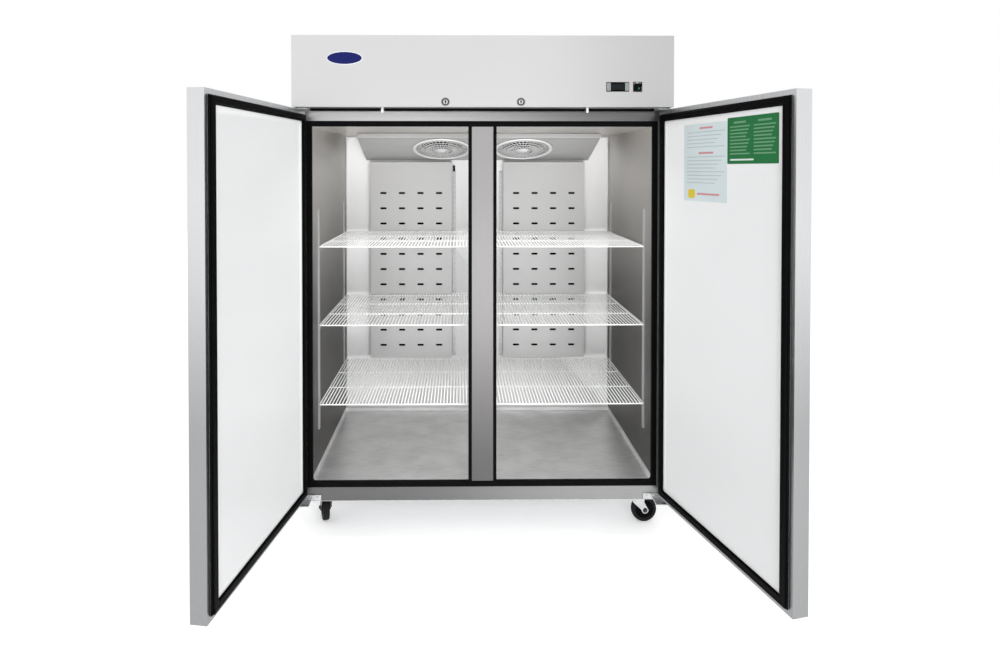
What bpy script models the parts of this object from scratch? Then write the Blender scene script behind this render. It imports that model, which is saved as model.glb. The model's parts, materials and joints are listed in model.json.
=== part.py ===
"""Two-door reach-in refrigerator with its machine compartment on top, on four swivel casters.

Metres, +Z up. The origin is on the floor under the middle of the cabinet, and the doors face -Y.
Both doors stand open at rest.
"""

import math

import bmesh
import bpy
from mathutils import Matrix, Vector

# Clearances
GAP = 0.0003  # between two pieces that rest on or line each other
RUNNING = 0.0015  # around a piece that turns or slides
OVERCUT = 0.004  # how far a cutter runs past the wall it cuts

# Cabinet
CABINET_WIDTH = 1.420
CABINET_DEPTH = 0.790
CABINET_HEIGHT = 1.495
SHEET = 0.001
SIDE_WALL = 0.061
TOP_WALL = 0.062
BOTTOM_WALL = 0.0745
REAR_WALL = 0.060
BREAKER_WIDTH = 0.021
BREAKER_DEPTH = 0.012
FACE_SHEET = 0.0012
FACE_UPSTAND = 0.030
MULLION_WIDTH = 0.107
MULLION_DEPTH = 0.055
MULLION_COVER_WIDTH = 0.082
MULLION_COVER_DEPTH = 0.004
BASE_SHEET = 0.002

# Doors
DOOR_THICKNESS = 0.050
DOOR_GAP = 0.001
DOOR_SIDE_MARGIN = 0.002
DOOR_CENTRE_GAP = 0.004
DOOR_BOTTOM_MARGIN = 0.028
DOOR_TOP_MARGIN = 0.004
GASKET_THICKNESS = 0.014
GASKET_WIDTH = 0.028
GASKET_INSET = 0.008
DOOR_LINER = 0.002
HINGE_INSET = 0.014
HINGE_SETBACK = 0.025
DOOR_OPEN_LEFT = math.radians(98.7)
DOOR_OPEN_RIGHT = math.radians(103.5)
HANDLE_HEIGHT = 0.220
HANDLE_WIDTH = 0.045
HANDLE_DEPTH = 0.026
HANDLE_EDGE = 0.030
HANDLE_LOW = 0.640

# Hinge brackets
BRACKET_SHEET = 0.003
BRACKET_WIDTH = 0.050
BRACKET_FLANGE = 0.022
BRACKET_NOSE = 0.011
PIN_RADIUS = 0.005
PIN_LENGTH = 0.022
PIN_COLLAR_RADIUS = 0.009

# Interior
DUCT_CENTRE_MARGIN = 0.125
DUCT_SIDE_MARGIN = 0.129
DUCT_DEPTH = 0.040
DUCT_RISE = 0.2785
DUCT_TOP_GAP = 0.010
SLOT_WIDTH = 0.032
SLOT_HEIGHT = 0.010
SLOT_DEPTH = 0.010
SLOT_COLUMN_PITCH = 0.090
SLOT_SIDE_MARGIN = 0.040
SLOT_ROW_PITCH = 0.074
SLOT_TOP_MARGIN = 0.150
SLOT_BOTTOM_MARGIN = 0.030
PILASTER_WIDTH = 0.016
PILASTER_DEPTH = 0.006
PILASTER_RISE = 0.1635
PILASTER_TOP_DROP = 0.320
PILASTER_FRONT_SETBACK = 0.105
PILASTER_REAR_MARGIN = 0.055
SHELF_RISES = (0.2755, 0.5875, 0.8955)
SHELF_FRONT_SETBACK = 0.065
SHELF_REAR_CLEARANCE = 0.006
SHELF_SIDE_CLEARANCE = 0.003
SHELF_CENTRE_GAP = 0.012
SHELF_THICKNESS = 0.006
SHELF_RIM = 0.006
SHELF_WIRES = 9
SHELF_WIRE = 0.005
SHELF_BAYS = 3

# Evaporator housing
HOUSING_SIDE_MARGIN = 0.104
HOUSING_DEPTH = 0.290
HOUSING_LIP = 0.022
HOUSING_REAR_DROP = 0.118
HOUSING_SHEET = 0.003
HOUSING_CLEARANCE = 0.002
FAN_OFFSET = 0.190
FAN_PAIR_SHIFT = 0.020
FAN_SETBACK = 0.142
FAN_OPENING_RADIUS = 0.124
FAN_RADIUS = 0.100
FAN_HUB_RADIUS = 0.030
FAN_THICKNESS = 0.016
FAN_BLADES = 5
BLADE_HALF_CHORD = 0.24
BLADE_SHEET = 0.002
BLADE_TWIST = math.radians(14)
GRILLE_RADIUS = 0.136
GRILLE_WIRE = 0.004
GRILLE_RINGS = 3
COIL_SIDE_MARGIN = 0.195
COIL_DEPTH = 0.070
COIL_HEIGHT = 0.045
COIL_REAR_MARGIN = 0.015

# Machine compartment
PANEL_HEIGHT = 0.265
PANEL_GAP = 0.006
PANEL_SIDE_MARGIN = 0.001
PANEL_LIP = 0.020
PANEL_REAR_GAP = 0.003
GUARD_HEIGHT = 0.250
LOCK_OFFSET = 0.140
LOCK_HEIGHT = 0.019
LOCK_RADIUS = 0.016
LOCK_BARREL_RADIUS = 0.010
LOCK_FLANGE = 0.003
LOCK_BARREL_LENGTH = 0.026
CAM_LENGTH = 0.046
CAM_WIDTH = 0.014
CAM_SHEET = 0.003
THERMOSTAT_SIDE_MARGIN = 0.2105
CONTROLS_HEIGHT = 0.075
THERMOSTAT_SIZE = (0.085, 0.035)
THERMOSTAT_PROUD = 0.003
THERMOSTAT_BODY_DEPTH = 0.040
DISPLAY_SIZE = (0.046, 0.023)
KEY_SIZE = (0.010, 0.008)
KEY_OFFSETS = (0.0345, 0.0085)
KEY_PROUD = 0.0016
KEY_LENGTH = 0.006
KEY_TRAVEL = 0.001
ROCKER_SIDE_MARGIN = 0.1363
ROCKER_SIZE = (0.034, 0.037)
BEZEL_RIM = 0.0025
ROCKER_PROUD = 0.0025
ROCKER_PIVOT = 0.006
ROCKER_TILT = math.radians(8.0)
COMPRESSOR_RADIUS = 0.085
COMPRESSOR_HEIGHT = 0.180
COMPRESSOR_SHOULDER = 0.026
COMPRESSOR_CAP_INSET = 0.024
COMPRESSOR_FOOT = (0.102, 0.094, 0.006)
COMPRESSOR_PLACE = (-0.330, 0.090)
CONDENSER_SIZE = (0.340, 0.070, 0.210)
CONDENSER_PLACE = (0.200, -0.250)
CONDENSER_SHROUD = 0.030
CONDENSER_FAN_RADIUS = 0.080
CONDENSER_HUB_RADIUS = 0.024
INLET_SIZE = (0.050, 0.032)
INLET_DEPTH = 0.022
INLET_WALL = 0.003
INLET_CENTRE_X = 0.560
INLET_RISE = 0.050

# Casters
CASTER_INSET_X = 0.095
CASTER_INSET_Y = 0.080
CASTER_PLATE = (0.090, 0.100, 0.006)
WHEEL_RADIUS = 0.050
WHEEL_CROWN_GAP = 0.004
WHEEL_WIDTH = 0.030
WHEEL_HUB_RADIUS = 0.018
AXLE_RADIUS = 0.005
CASTER_TRAIL = 0.028
FORK_SHEET = 0.003
FORK_SIDE_GAP = 0.002
RACE_RADIUS = 0.026
RACE_HEIGHT = 0.0114
PEDAL_SIZE = (0.034, 0.026, 0.004)
PEDAL_SLOPE = math.radians(8.0)
TYRE_CROWN = 0.0036
WHEEL_DISH = 0.7
FORK_FOOT_RADIUS = 0.0135
FOOT_STEPS = 6
CASTER_HEADINGS = {
    "front_left": math.radians(108.0),
    "front_right": math.radians(4.0),
    "rear_left": math.radians(70.0),
    "rear_right": math.radians(110.0),
}

# Places worked out from the sizes above
CROWN_LOW = WHEEL_RADIUS * 2 + WHEEL_CROWN_GAP
CROWN_HIGH = CROWN_LOW + FORK_SHEET
RACE_TOP = CROWN_HIGH + RACE_HEIGHT
CASTER_HEIGHT = RACE_TOP + GAP * 2 + CASTER_PLATE[2]
HALF_WIDTH = CABINET_WIDTH / 2
FACE_Y = -CABINET_DEPTH / 2
REAR_Y = CABINET_DEPTH / 2
UNDERSIDE_Z = CASTER_HEIGHT
DECK_Z = UNDERSIDE_Z + CABINET_HEIGHT
OPENING_X = HALF_WIDTH - SIDE_WALL
OPENING_LOW = UNDERSIDE_Z + BOTTOM_WALL
OPENING_HIGH = DECK_Z - TOP_WALL
INNER_REAR_Y = REAR_Y - REAR_WALL
DUCT_FRONT_Y = INNER_REAR_Y - GAP - DUCT_DEPTH
SHELF_HEIGHTS = [OPENING_LOW + rise for rise in SHELF_RISES]
HOUSING_FRONT_Y = INNER_REAR_Y - HOUSING_DEPTH
HOUSING_HALF_WIDTH = OPENING_X - HOUSING_SIDE_MARGIN
DOOR_BACK_Y = FACE_Y - DOOR_GAP - GASKET_THICKNESS
DOOR_FRONT_Y = DOOR_BACK_Y - DOOR_THICKNESS
DOOR_LOW = UNDERSIDE_Z + DOOR_BOTTOM_MARGIN
DOOR_HIGH = DECK_Z - DOOR_TOP_MARGIN
DOOR_OUTER_X = HALF_WIDTH - DOOR_SIDE_MARGIN
DOOR_WIDTH = DOOR_OUTER_X - DOOR_CENTRE_GAP / 2
HINGE_X = DOOR_OUTER_X - HINGE_INSET
HINGE_Y = DOOR_FRONT_Y + HINGE_SETBACK
PANEL_LOW = DECK_Z + PANEL_GAP
PANEL_HIGH = PANEL_LOW + PANEL_HEIGHT
PANEL_REAR_Y = FACE_Y - PANEL_REAR_GAP
THERMOSTAT_CENTRE = HALF_WIDTH - THERMOSTAT_SIDE_MARGIN
ROCKER_CENTRE = HALF_WIDTH - ROCKER_SIDE_MARGIN
SIDES = {"left": -1, "right": 1}


# Materials


def material(name, colour, roughness, metallic=0.0):
    found = bpy.data.materials.get(name)
    if found:
        return found
    made = bpy.data.materials.new(name)
    made.use_nodes = True
    shader = made.node_tree.nodes["Principled BSDF"]
    shader.inputs["Base Color"].default_value = (*colour, 1.0)
    shader.inputs["Roughness"].default_value = roughness
    shader.inputs["Metallic"].default_value = metallic
    return made


def stainless():
    return material("brushed_stainless", (0.62, 0.62, 0.61), 0.32, 1.0)


def zinc():
    return material("zinc_plate", (0.70, 0.71, 0.72), 0.28, 1.0)


def black_plastic():
    return material("black_plastic", (0.02, 0.02, 0.022), 0.45)


def gasket_rubber():
    return material("gasket_rubber", (0.015, 0.015, 0.016), 0.6)


def white_liner():
    return material("white_liner", (0.86, 0.87, 0.88), 0.35)


def white_wire():
    return material("white_coated_wire", (0.90, 0.90, 0.88), 0.4)


def foam():
    return material("insulating_foam", (0.85, 0.78, 0.55), 0.9)


def grey_key():
    return material("grey_key", (0.45, 0.46, 0.47), 0.5)


def black_enamel():
    return material("black_enamel", (0.03, 0.03, 0.03), 0.35)


def copper_fins():
    return material("coil_fins", (0.72, 0.70, 0.66), 0.4, 1.0)


# Making shapes


def add(name, bm, look, parent=None, smooth=False):
    """Turns a bmesh into a named object, placed in its parent's axes."""
    bmesh.ops.recalc_face_normals(bm, faces=bm.faces)
    mesh = bpy.data.meshes.new(name)
    bm.to_mesh(mesh)
    bm.free()
    if smooth:
        mesh.shade_smooth()
        mesh.set_sharp_from_angle(angle=math.radians(35))
    mesh.materials.append(look)
    made = bpy.data.objects.new(name, mesh)
    bpy.context.scene.collection.objects.link(made)
    made.parent = parent
    return made


def axis_at(name, place, turn=0.0, parent=None):
    """An empty on a joint's axis, turned about Z."""
    empty = bpy.data.objects.new(name, None)
    bpy.context.scene.collection.objects.link(empty)
    empty.location = place
    empty.rotation_euler.z = turn
    empty.parent = parent
    return empty


def block(low, high):
    """A box between two corners, which may be given in any order."""
    bm = bmesh.new()
    low, high = Vector(map(min, low, high)), Vector(map(max, low, high))
    size = high - low
    place = Matrix.Translation((low + high) / 2) @ Matrix.Diagonal((*size, 1.0))
    bmesh.ops.create_cube(bm, size=1.0, matrix=place)
    return bm


def rod(start, end, radius, sides=16):
    """A solid round bar between two points."""
    bm = bmesh.new()
    start, end = Vector(start), Vector(end)
    along = end - start
    turn = Vector((0, 0, 1)).rotation_difference(along).to_matrix().to_4x4()
    place = Matrix.Translation((start + end) / 2) @ turn
    bmesh.ops.create_cone(
        bm, cap_ends=True, segments=sides, radius1=radius, radius2=radius, depth=along.length, matrix=place
    )
    return bm


def turned(profile, sides=24):
    """Spins a closed (radius, height) outline, which stays clear of the axis, about Z."""
    bm = bmesh.new()
    loop = [bm.verts.new((radius, 0.0, height)) for radius, height in profile]
    edges = [bm.edges.new((a, b)) for a, b in zip(loop, loop[1:] + loop[:1])]
    bmesh.ops.spin(bm, geom=loop + edges, cent=(0, 0, 0), axis=(0, 0, 1), angle=math.tau, steps=sides)
    bmesh.ops.remove_doubles(bm, verts=bm.verts, dist=1e-5)
    return bm


def prism(outline, low, high):
    """Extrudes an (x, z) outline along Y from low to high."""
    bm = bmesh.new()
    face = bm.faces.new([bm.verts.new((x, low, z)) for x, z in outline])
    grown = bmesh.ops.extrude_face_region(bm, geom=[face])
    moved = [item for item in grown["geom"] if isinstance(item, bmesh.types.BMVert)]
    bmesh.ops.translate(bm, verts=moved, vec=(0, high - low, 0))
    return bm


def moved(bm, matrix):
    bmesh.ops.transform(bm, matrix=matrix, verts=bm.verts)
    return bm


def helper(target, bm, operation):
    """Hides a second shape and joins it to, or cuts it from, the target with a Boolean."""
    number = len(target.modifiers) + 1
    other = add(f"{target.name}_{operation.lower()}_{number}", bm, target.active_material, target.parent)
    other.hide_render = True
    other.display_type = "WIRE"
    boolean = target.modifiers.new(other.name, "BOOLEAN")
    boolean.operation = operation
    boolean.object = other
    return other


def cut(target, bm):
    return helper(target, bm, "DIFFERENCE")


def join(target, bm):
    return helper(target, bm, "UNION")


def repeat(obj, count, step):
    """Repeats a cutter along a line."""
    array = obj.modifiers.new("repeat", "ARRAY")
    array.use_relative_offset = False
    array.use_constant_offset = True
    array.constant_offset_displace = step
    array.count = count
    return obj


def tray(name, low, high, wall, open_side, look, parent=None):
    """A box of sheet, with one side left open: '-Y', '+Y', '+Z' and so on."""
    made = add(name, block(low, high), look, parent)
    inner_low = Vector(low) + Vector((wall, wall, wall))
    inner_high = Vector(high) - Vector((wall, wall, wall))
    axis = "XYZ".index(open_side[1])
    if open_side[0] == "-":
        inner_low[axis] = low[axis] - OVERCUT
    else:
        inner_high[axis] = high[axis] + OVERCUT
    cut(made, block(inner_low, inner_high))
    return made


# Cabinet


def shell_box():
    """The outer faces of the cabinet's sheet-metal shell, above the base sheet."""
    low = (-HALF_WIDTH, FACE_Y + FACE_SHEET + GAP, UNDERSIDE_Z + BASE_SHEET + GAP)
    return low, (HALF_WIDTH, REAR_Y, DECK_Z)


def build_cabinet():
    low, high = shell_box()
    tray("outer_shell", low, high, SHEET, "-Y", stainless())

    skin = SHEET + GAP
    foam_low = (low[0] + skin, low[1], low[2] + skin)
    foam_high = (high[0] - skin, high[1] - skin, high[2] - skin)
    cabinet_foam = add("cabinet_foam", block(foam_low, foam_high), foam())
    cavity_low = (-OPENING_X - skin, low[1] - OVERCUT, OPENING_LOW - skin)
    cavity_high = (OPENING_X + skin, INNER_REAR_Y + skin, OPENING_HIGH + skin)
    cut(cabinet_foam, block(cavity_low, cavity_high))
    rebate = BREAKER_WIDTH + GAP
    rebate_low = (-OPENING_X - rebate, low[1] - OVERCUT, OPENING_LOW - rebate)
    rebate_high = (OPENING_X + rebate, FACE_Y + BREAKER_DEPTH + GAP, OPENING_HIGH + rebate)
    cut(cabinet_foam, block(rebate_low, rebate_high))

    liner_low = (-OPENING_X - SHEET, FACE_Y + BREAKER_DEPTH + GAP, OPENING_LOW - SHEET)
    liner_high = (OPENING_X + SHEET, INNER_REAR_Y + SHEET, OPENING_HIGH + SHEET)
    tray("interior_liner", liner_low, liner_high, SHEET, "-Y", stainless())


def build_front_frame():
    """The stainless face with its upstand, the black breaker strip inside it, and the mullion."""
    face_low = (-HALF_WIDTH, FACE_Y, UNDERSIDE_Z + BASE_SHEET + GAP)
    face_high = (HALF_WIDTH, FACE_Y + FACE_SHEET, DECK_Z + FACE_UPSTAND)
    face = add("front_frame", block(face_low, face_high), stainless())
    edge = BREAKER_WIDTH + GAP
    hole_low = (-OPENING_X - edge, FACE_Y - OVERCUT, OPENING_LOW - edge)
    hole_high = (OPENING_X + edge, FACE_Y + FACE_SHEET + OVERCUT, OPENING_HIGH + edge)
    cut(face, block(hole_low, hole_high))

    ring_low = (-OPENING_X - BREAKER_WIDTH, FACE_Y, OPENING_LOW - BREAKER_WIDTH)
    ring_high = (OPENING_X + BREAKER_WIDTH, FACE_Y + BREAKER_DEPTH, OPENING_HIGH + BREAKER_WIDTH)
    ring = add("breaker_frame", block(ring_low, ring_high), black_plastic())
    hole_low = (-OPENING_X, FACE_Y - OVERCUT, OPENING_LOW)
    cut(ring, block(hole_low, (OPENING_X, FACE_Y + BREAKER_DEPTH + OVERCUT, OPENING_HIGH)))

    # The mullion's black post is one moulding with the ring, and carries the stainless cover.
    half, half_cover = MULLION_WIDTH / 2, MULLION_COVER_WIDTH / 2
    low, high = OPENING_LOW + GAP, OPENING_HIGH - GAP
    cover_back = FACE_Y + MULLION_COVER_DEPTH
    tie = BREAKER_WIDTH / 2
    join(ring, block((-half, FACE_Y + SHEET, low), (half, FACE_Y + MULLION_DEPTH, high)))
    tie_high = (half, FACE_Y + BREAKER_DEPTH - SHEET, high + tie)
    join(ring, block((-half, FACE_Y + SHEET, low - tie), tie_high))
    cut(ring, block((-half_cover - GAP, FACE_Y - OVERCUT, low), (half_cover + GAP, cover_back + GAP, high)))
    cover = block((-half_cover, FACE_Y, low + GAP), (half_cover, cover_back, high - GAP))
    add("mullion_cover", cover, stainless())


def caster_places():
    x, y = HALF_WIDTH - CASTER_INSET_X, CABINET_DEPTH / 2 - CASTER_INSET_Y
    return {
        "front_left": (-x, -y),
        "front_right": (x, -y),
        "rear_left": (-x, y),
        "rear_right": (x, y),
    }


def build_base():
    """The base sheet with a caster plate welded under each corner."""
    low = (-HALF_WIDTH, FACE_Y, UNDERSIDE_Z)
    base = add("base_sheet", block(low, (HALF_WIDTH, REAR_Y, UNDERSIDE_Z + BASE_SHEET)), stainless())
    for x, y in caster_places().values():
        half_x, half_y = CASTER_PLATE[0] / 2, CASTER_PLATE[1] / 2
        plate_low = (x - half_x, y - half_y, UNDERSIDE_Z - CASTER_PLATE[2])
        join(base, block(plate_low, (x + half_x, y + half_y, UNDERSIDE_Z + BASE_SHEET / 2)))


# Doors


def build_door(side):
    """One door, modelled closed about its hinge axis and turned open by its parent."""
    sign = SIDES[side]
    open_by = DOOR_OPEN_LEFT if side == "left" else DOOR_OPEN_RIGHT
    hinge = axis_at(f"door_{side}_hinge", (sign * HINGE_X, HINGE_Y, 0.0), sign * open_by)
    outer, inner = sign * HINGE_INSET, sign * (HINGE_INSET - DOOR_WIDTH)
    front, back = DOOR_FRONT_Y - HINGE_Y, DOOR_BACK_Y - HINGE_Y

    def span(inset, y_low, y_high):
        """A box over the whole door, drawn in by the inset all round."""
        low = (outer - sign * inset, y_low, DOOR_LOW + inset)
        return block(low, (inner + sign * inset, y_high, DOOR_HIGH - inset))

    skin = add(f"door_{side}_skin", span(0.0, front, back), stainless(), hinge)
    cut(skin, span(SHEET, front + SHEET, back + OVERCUT))
    core_back = back - DOOR_LINER - GAP
    core = add(f"door_{side}_foam", span(SHEET + GAP, front + SHEET + GAP, core_back), foam(), hinge)
    add(f"door_{side}_liner", span(SHEET + GAP, back - DOOR_LINER, back - GAP), white_liner(), hinge)
    lip = back + GASKET_THICKNESS
    gasket = add(f"door_{side}_gasket", span(GASKET_INSET, back, lip), gasket_rubber(), hinge)
    cut(gasket, span(GASKET_INSET + GASKET_WIDTH, back - OVERCUT, lip + OVERCUT))

    # The handle is a pocket pressed into the skin near the free edge, with a lip to pull on.
    pocket_edge = inner + sign * HANDLE_EDGE
    pocket_far = pocket_edge + sign * HANDLE_WIDTH
    pocket_low, pocket_high = UNDERSIDE_Z + HANDLE_LOW, UNDERSIDE_Z + HANDLE_LOW + HANDLE_HEIGHT
    floor_y = front + HANDLE_DEPTH
    out, room = SHEET, SHEET + GAP
    wall_low = (pocket_edge - sign * out, front + SHEET / 2, pocket_low - out)
    join(skin, block(wall_low, (pocket_far + sign * out, floor_y + out, pocket_high + out)))
    cut(skin, block((pocket_edge, front - OVERCUT, pocket_low), (pocket_far, floor_y, pocket_high)))
    room_low = (pocket_edge - sign * room, front - OVERCUT, pocket_low - room)
    cut(core, block(room_low, (pocket_far + sign * room, floor_y + room, pocket_high + room)))

    # The lock's cam drops through a slot in the door's top edge.
    cam_x = -sign * (HINGE_X - LOCK_OFFSET)
    half_slot = CAM_WIDTH / 2 + RUNNING
    cam_y = cam_front_y() - HINGE_Y
    slot_floor = lock_z() - CAM_LENGTH - RUNNING * 2
    slot_low, slot_high = cam_y - RUNNING, cam_y + CAM_SHEET + RUNNING
    for piece in (skin, core):
        slot_corner = (cam_x + half_slot, slot_high, DOOR_HIGH + OVERCUT)
        cut(piece, block((cam_x - half_slot, slot_low, slot_floor), slot_corner))
    # Blind holes in both ends take the hinge pins.
    hole = PIN_RADIUS + GAP
    reach = PIN_LENGTH + RUNNING
    for piece in (skin, core):
        cut(piece, rod((0, 0, DOOR_LOW - OVERCUT), (0, 0, DOOR_LOW + reach), hole))
        cut(piece, rod((0, 0, DOOR_HIGH - reach), (0, 0, DOOR_HIGH + OVERCUT), hole))
    return hinge


def build_hinge_brackets(side):
    """An angle bracket with a pin at each end of the door: the upper one stands behind the panel."""
    sign = SIDES[side]
    x_out = sign * (HINGE_X + BRACKET_NOSE)
    x_in = sign * (HINGE_X + BRACKET_NOSE - BRACKET_WIDTH)
    front, back = HINGE_Y - BRACKET_NOSE, FACE_Y - GAP
    lower_arm = DOOR_LOW - RUNNING * 2 - BRACKET_FLANGE
    ends = {
        "lower": (lower_arm, DOOR_LOW + PIN_LENGTH, DOOR_LOW - RUNNING),
        "upper": (DOOR_HIGH + RUNNING * 2, DOOR_HIGH - PIN_LENGTH, DOOR_HIGH + RUNNING),
    }
    for end, (arm_z, pin_end, collar_end) in ends.items():
        arm = block((x_in, front, arm_z), (x_out, back, arm_z + BRACKET_SHEET))
        bracket = add(f"hinge_bracket_{end}_{side}", arm, zinc())
        middle = arm_z + BRACKET_SHEET / 2
        join(bracket, block((x_in, back - BRACKET_SHEET, middle), (x_out, back, arm_z + BRACKET_FLANGE)))
        for tip, radius in ((collar_end, PIN_COLLAR_RADIUS), (pin_end, PIN_RADIUS)):
            join(bracket, rod((sign * HINGE_X, HINGE_Y, middle), (sign * HINGE_X, HINGE_Y, tip), radius))


# Interior


def build_air_duct(side):
    """A shallow box on the rear wall with rows of slots in its face."""
    sign = SIDES[side]
    duct_low, duct_high = OPENING_LOW + DUCT_RISE, OPENING_HIGH - HOUSING_REAR_DROP - DUCT_TOP_GAP
    inner, outer = DUCT_CENTRE_MARGIN, OPENING_X - DUCT_SIDE_MARGIN
    low = (sign * inner, DUCT_FRONT_Y, duct_low)
    high = (sign * outer, INNER_REAR_Y - GAP, duct_high)
    duct = add(f"air_duct_{side}", block(low, high), stainless())
    columns = int((outer - inner - SLOT_SIDE_MARGIN * 2) / SLOT_COLUMN_PITCH) + 1
    rows = int((duct_high - duct_low - SLOT_TOP_MARGIN - SLOT_BOTTOM_MARGIN) / SLOT_ROW_PITCH) + 1
    slot_x = sign * (inner + outer) / 2 - SLOT_COLUMN_PITCH * (columns - 1) / 2
    slot_z = duct_high - SLOT_TOP_MARGIN
    half_x, half_z = SLOT_WIDTH / 2, SLOT_HEIGHT / 2
    slot_low = (slot_x - half_x, DUCT_FRONT_Y - OVERCUT, slot_z - half_z)
    slots = cut(duct, block(slot_low, (slot_x + half_x, DUCT_FRONT_Y + SLOT_DEPTH, slot_z + half_z)))
    repeat(slots, columns, (SLOT_COLUMN_PITCH, 0, 0))
    repeat(slots, rows, (0, 0, -SLOT_ROW_PITCH))


def build_pilasters(side):
    sign = SIDES[side]
    wall_x = sign * (OPENING_X - GAP)
    low, high = OPENING_LOW + PILASTER_RISE, OPENING_HIGH - PILASTER_TOP_DROP
    places = {"front": FACE_Y + PILASTER_FRONT_SETBACK, "rear": INNER_REAR_Y - PILASTER_REAR_MARGIN}
    for place, y in places.items():
        strip_low = (wall_x, y - PILASTER_WIDTH / 2, low)
        strip_high = (wall_x - sign * PILASTER_DEPTH, y + PILASTER_WIDTH / 2, high)
        add(f"pilaster_{side}_{place}", block(strip_low, strip_high), zinc())


def build_shelf(side, number, height):
    """A wire shelf: a rim with bars running front to back, tied by cross rods."""
    sign = SIDES[side]
    x_out = sign * (OPENING_X - GAP - PILASTER_DEPTH - SHELF_SIDE_CLEARANCE)
    x_in = sign * SHELF_CENTRE_GAP / 2
    x_low, x_high = min(x_out, x_in), max(x_out, x_in)
    y_low = FACE_Y + SHELF_FRONT_SETBACK
    y_high = DUCT_FRONT_Y - SHELF_REAR_CLEARANCE
    low = (x_low, y_low, height - SHELF_THICKNESS / 2)
    high = (x_high, y_high, height + SHELF_THICKNESS / 2)
    shelf = add(f"shelf_{side}_{number}", block(low, high), white_wire())
    pitch_x = (x_high - x_low - SHELF_RIM * 2 + SHELF_WIRE) / (SHELF_WIRES + 1)
    pitch_y = (y_high - y_low - SHELF_RIM * 2 + SHELF_WIRE) / SHELF_BAYS
    first = Vector((x_low + SHELF_RIM, y_low + SHELF_RIM, low[2] - OVERCUT))
    span = Vector((pitch_x - SHELF_WIRE, pitch_y - SHELF_WIRE, SHELF_THICKNESS + OVERCUT * 2))
    opening = cut(shelf, block(first, first + span))
    repeat(opening, SHELF_WIRES + 1, (pitch_x, 0, 0))
    repeat(opening, SHELF_BAYS, (0, pitch_y, 0))


# Evaporator housing


def housing_slope():
    """The angle by which the housing's face drops towards the rear."""
    return math.atan2(HOUSING_REAR_DROP - HOUSING_LIP, HOUSING_DEPTH - HOUSING_CLEARANCE)


def fan_frame(side):
    """Axes on the housing's sloping face at a fan: X across, Y down the slope and Z up through the face."""
    slope = housing_slope()
    y = HOUSING_FRONT_Y + FAN_SETBACK * math.cos(slope)
    z = OPENING_HIGH - HOUSING_LIP - FAN_SETBACK * math.sin(slope)
    x = FAN_PAIR_SHIFT + SIDES[side] * FAN_OFFSET
    return Matrix.Translation((x, y, z)) @ Matrix.Rotation(-slope, 4, "X")


def housing_outline(inset, past_top):
    """The housing's section as (y, z) points, drawn in by the sheet, with its top raised by past_top."""
    slope = housing_slope()
    front, rear = HOUSING_FRONT_Y, INNER_REAR_Y - HOUSING_CLEARANCE
    top = OPENING_HIGH - HOUSING_CLEARANCE + past_top
    lip = OPENING_HIGH - HOUSING_LIP
    inset_z = inset / math.cos(slope)
    rise = math.tan(slope)
    return [
        (front + inset, top),
        (front + inset, lip + inset_z - inset * rise),
        (rear - inset, lip + inset_z - (rear - inset - front) * rise),
        (rear - inset, top),
    ]


def build_evaporator():
    """The sloping housing under the ceiling, its fan openings and the finned coil inside it."""
    half = HOUSING_HALF_WIDTH
    sideways = Matrix.Rotation(math.radians(90), 4, "Z")

    def across(outline, half_width):
        """A prism along X over an outline in (y, z)."""
        return moved(prism(outline, -half_width, half_width), sideways)

    cover = add("evaporator_cover", across(housing_outline(0.0, 0.0), half), stainless())
    cut(cover, across(housing_outline(HOUSING_SHEET, OVERCUT), half - HOUSING_SHEET))
    for side in SIDES:
        frame = fan_frame(side)
        start, end = frame @ Vector((0, 0, -FAN_THICKNESS)), frame @ Vector((0, 0, FAN_THICKNESS))
        cut(cover, rod(start, end, FAN_OPENING_RADIUS, 32))

    coil_half, rear = half - COIL_SIDE_MARGIN, INNER_REAR_Y - COIL_REAR_MARGIN
    top = OPENING_HIGH - HOUSING_CLEARANCE
    coil_low, coil_high = (-coil_half, rear - COIL_DEPTH, top - COIL_HEIGHT), (coil_half, rear, top)
    add("evaporator_coil", block(coil_low, coil_high), copper_fins())


def fan_blades(hub_radius, radius):
    """A hub on Z with flat blades set at an angle, as one bmesh per piece."""
    pieces = [rod((0, 0, -FAN_THICKNESS / 2), (0, 0, FAN_THICKNESS / 2), hub_radius, 20)]
    half_chord = radius * BLADE_HALF_CHORD
    root = hub_radius - FAN_THICKNESS / 2
    for number in range(FAN_BLADES):
        blade = block((root, -half_chord, -BLADE_SHEET / 2), (radius, half_chord, BLADE_SHEET / 2))
        turn = Matrix.Rotation(math.tau * number / FAN_BLADES, 4, "Z") @ Matrix.Rotation(BLADE_TWIST, 4, "X")
        pieces.append(moved(blade, turn))
    return pieces


def build_fan(name, frame, hub_radius, radius):
    centre = axis_at(f"{name}_axis", frame.to_translation())
    centre.rotation_euler = frame.to_euler()
    hub, *blades = fan_blades(hub_radius, radius)
    fan = add(name, hub, black_plastic(), centre)
    for blade in blades:
        join(fan, blade)
    return fan


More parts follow.
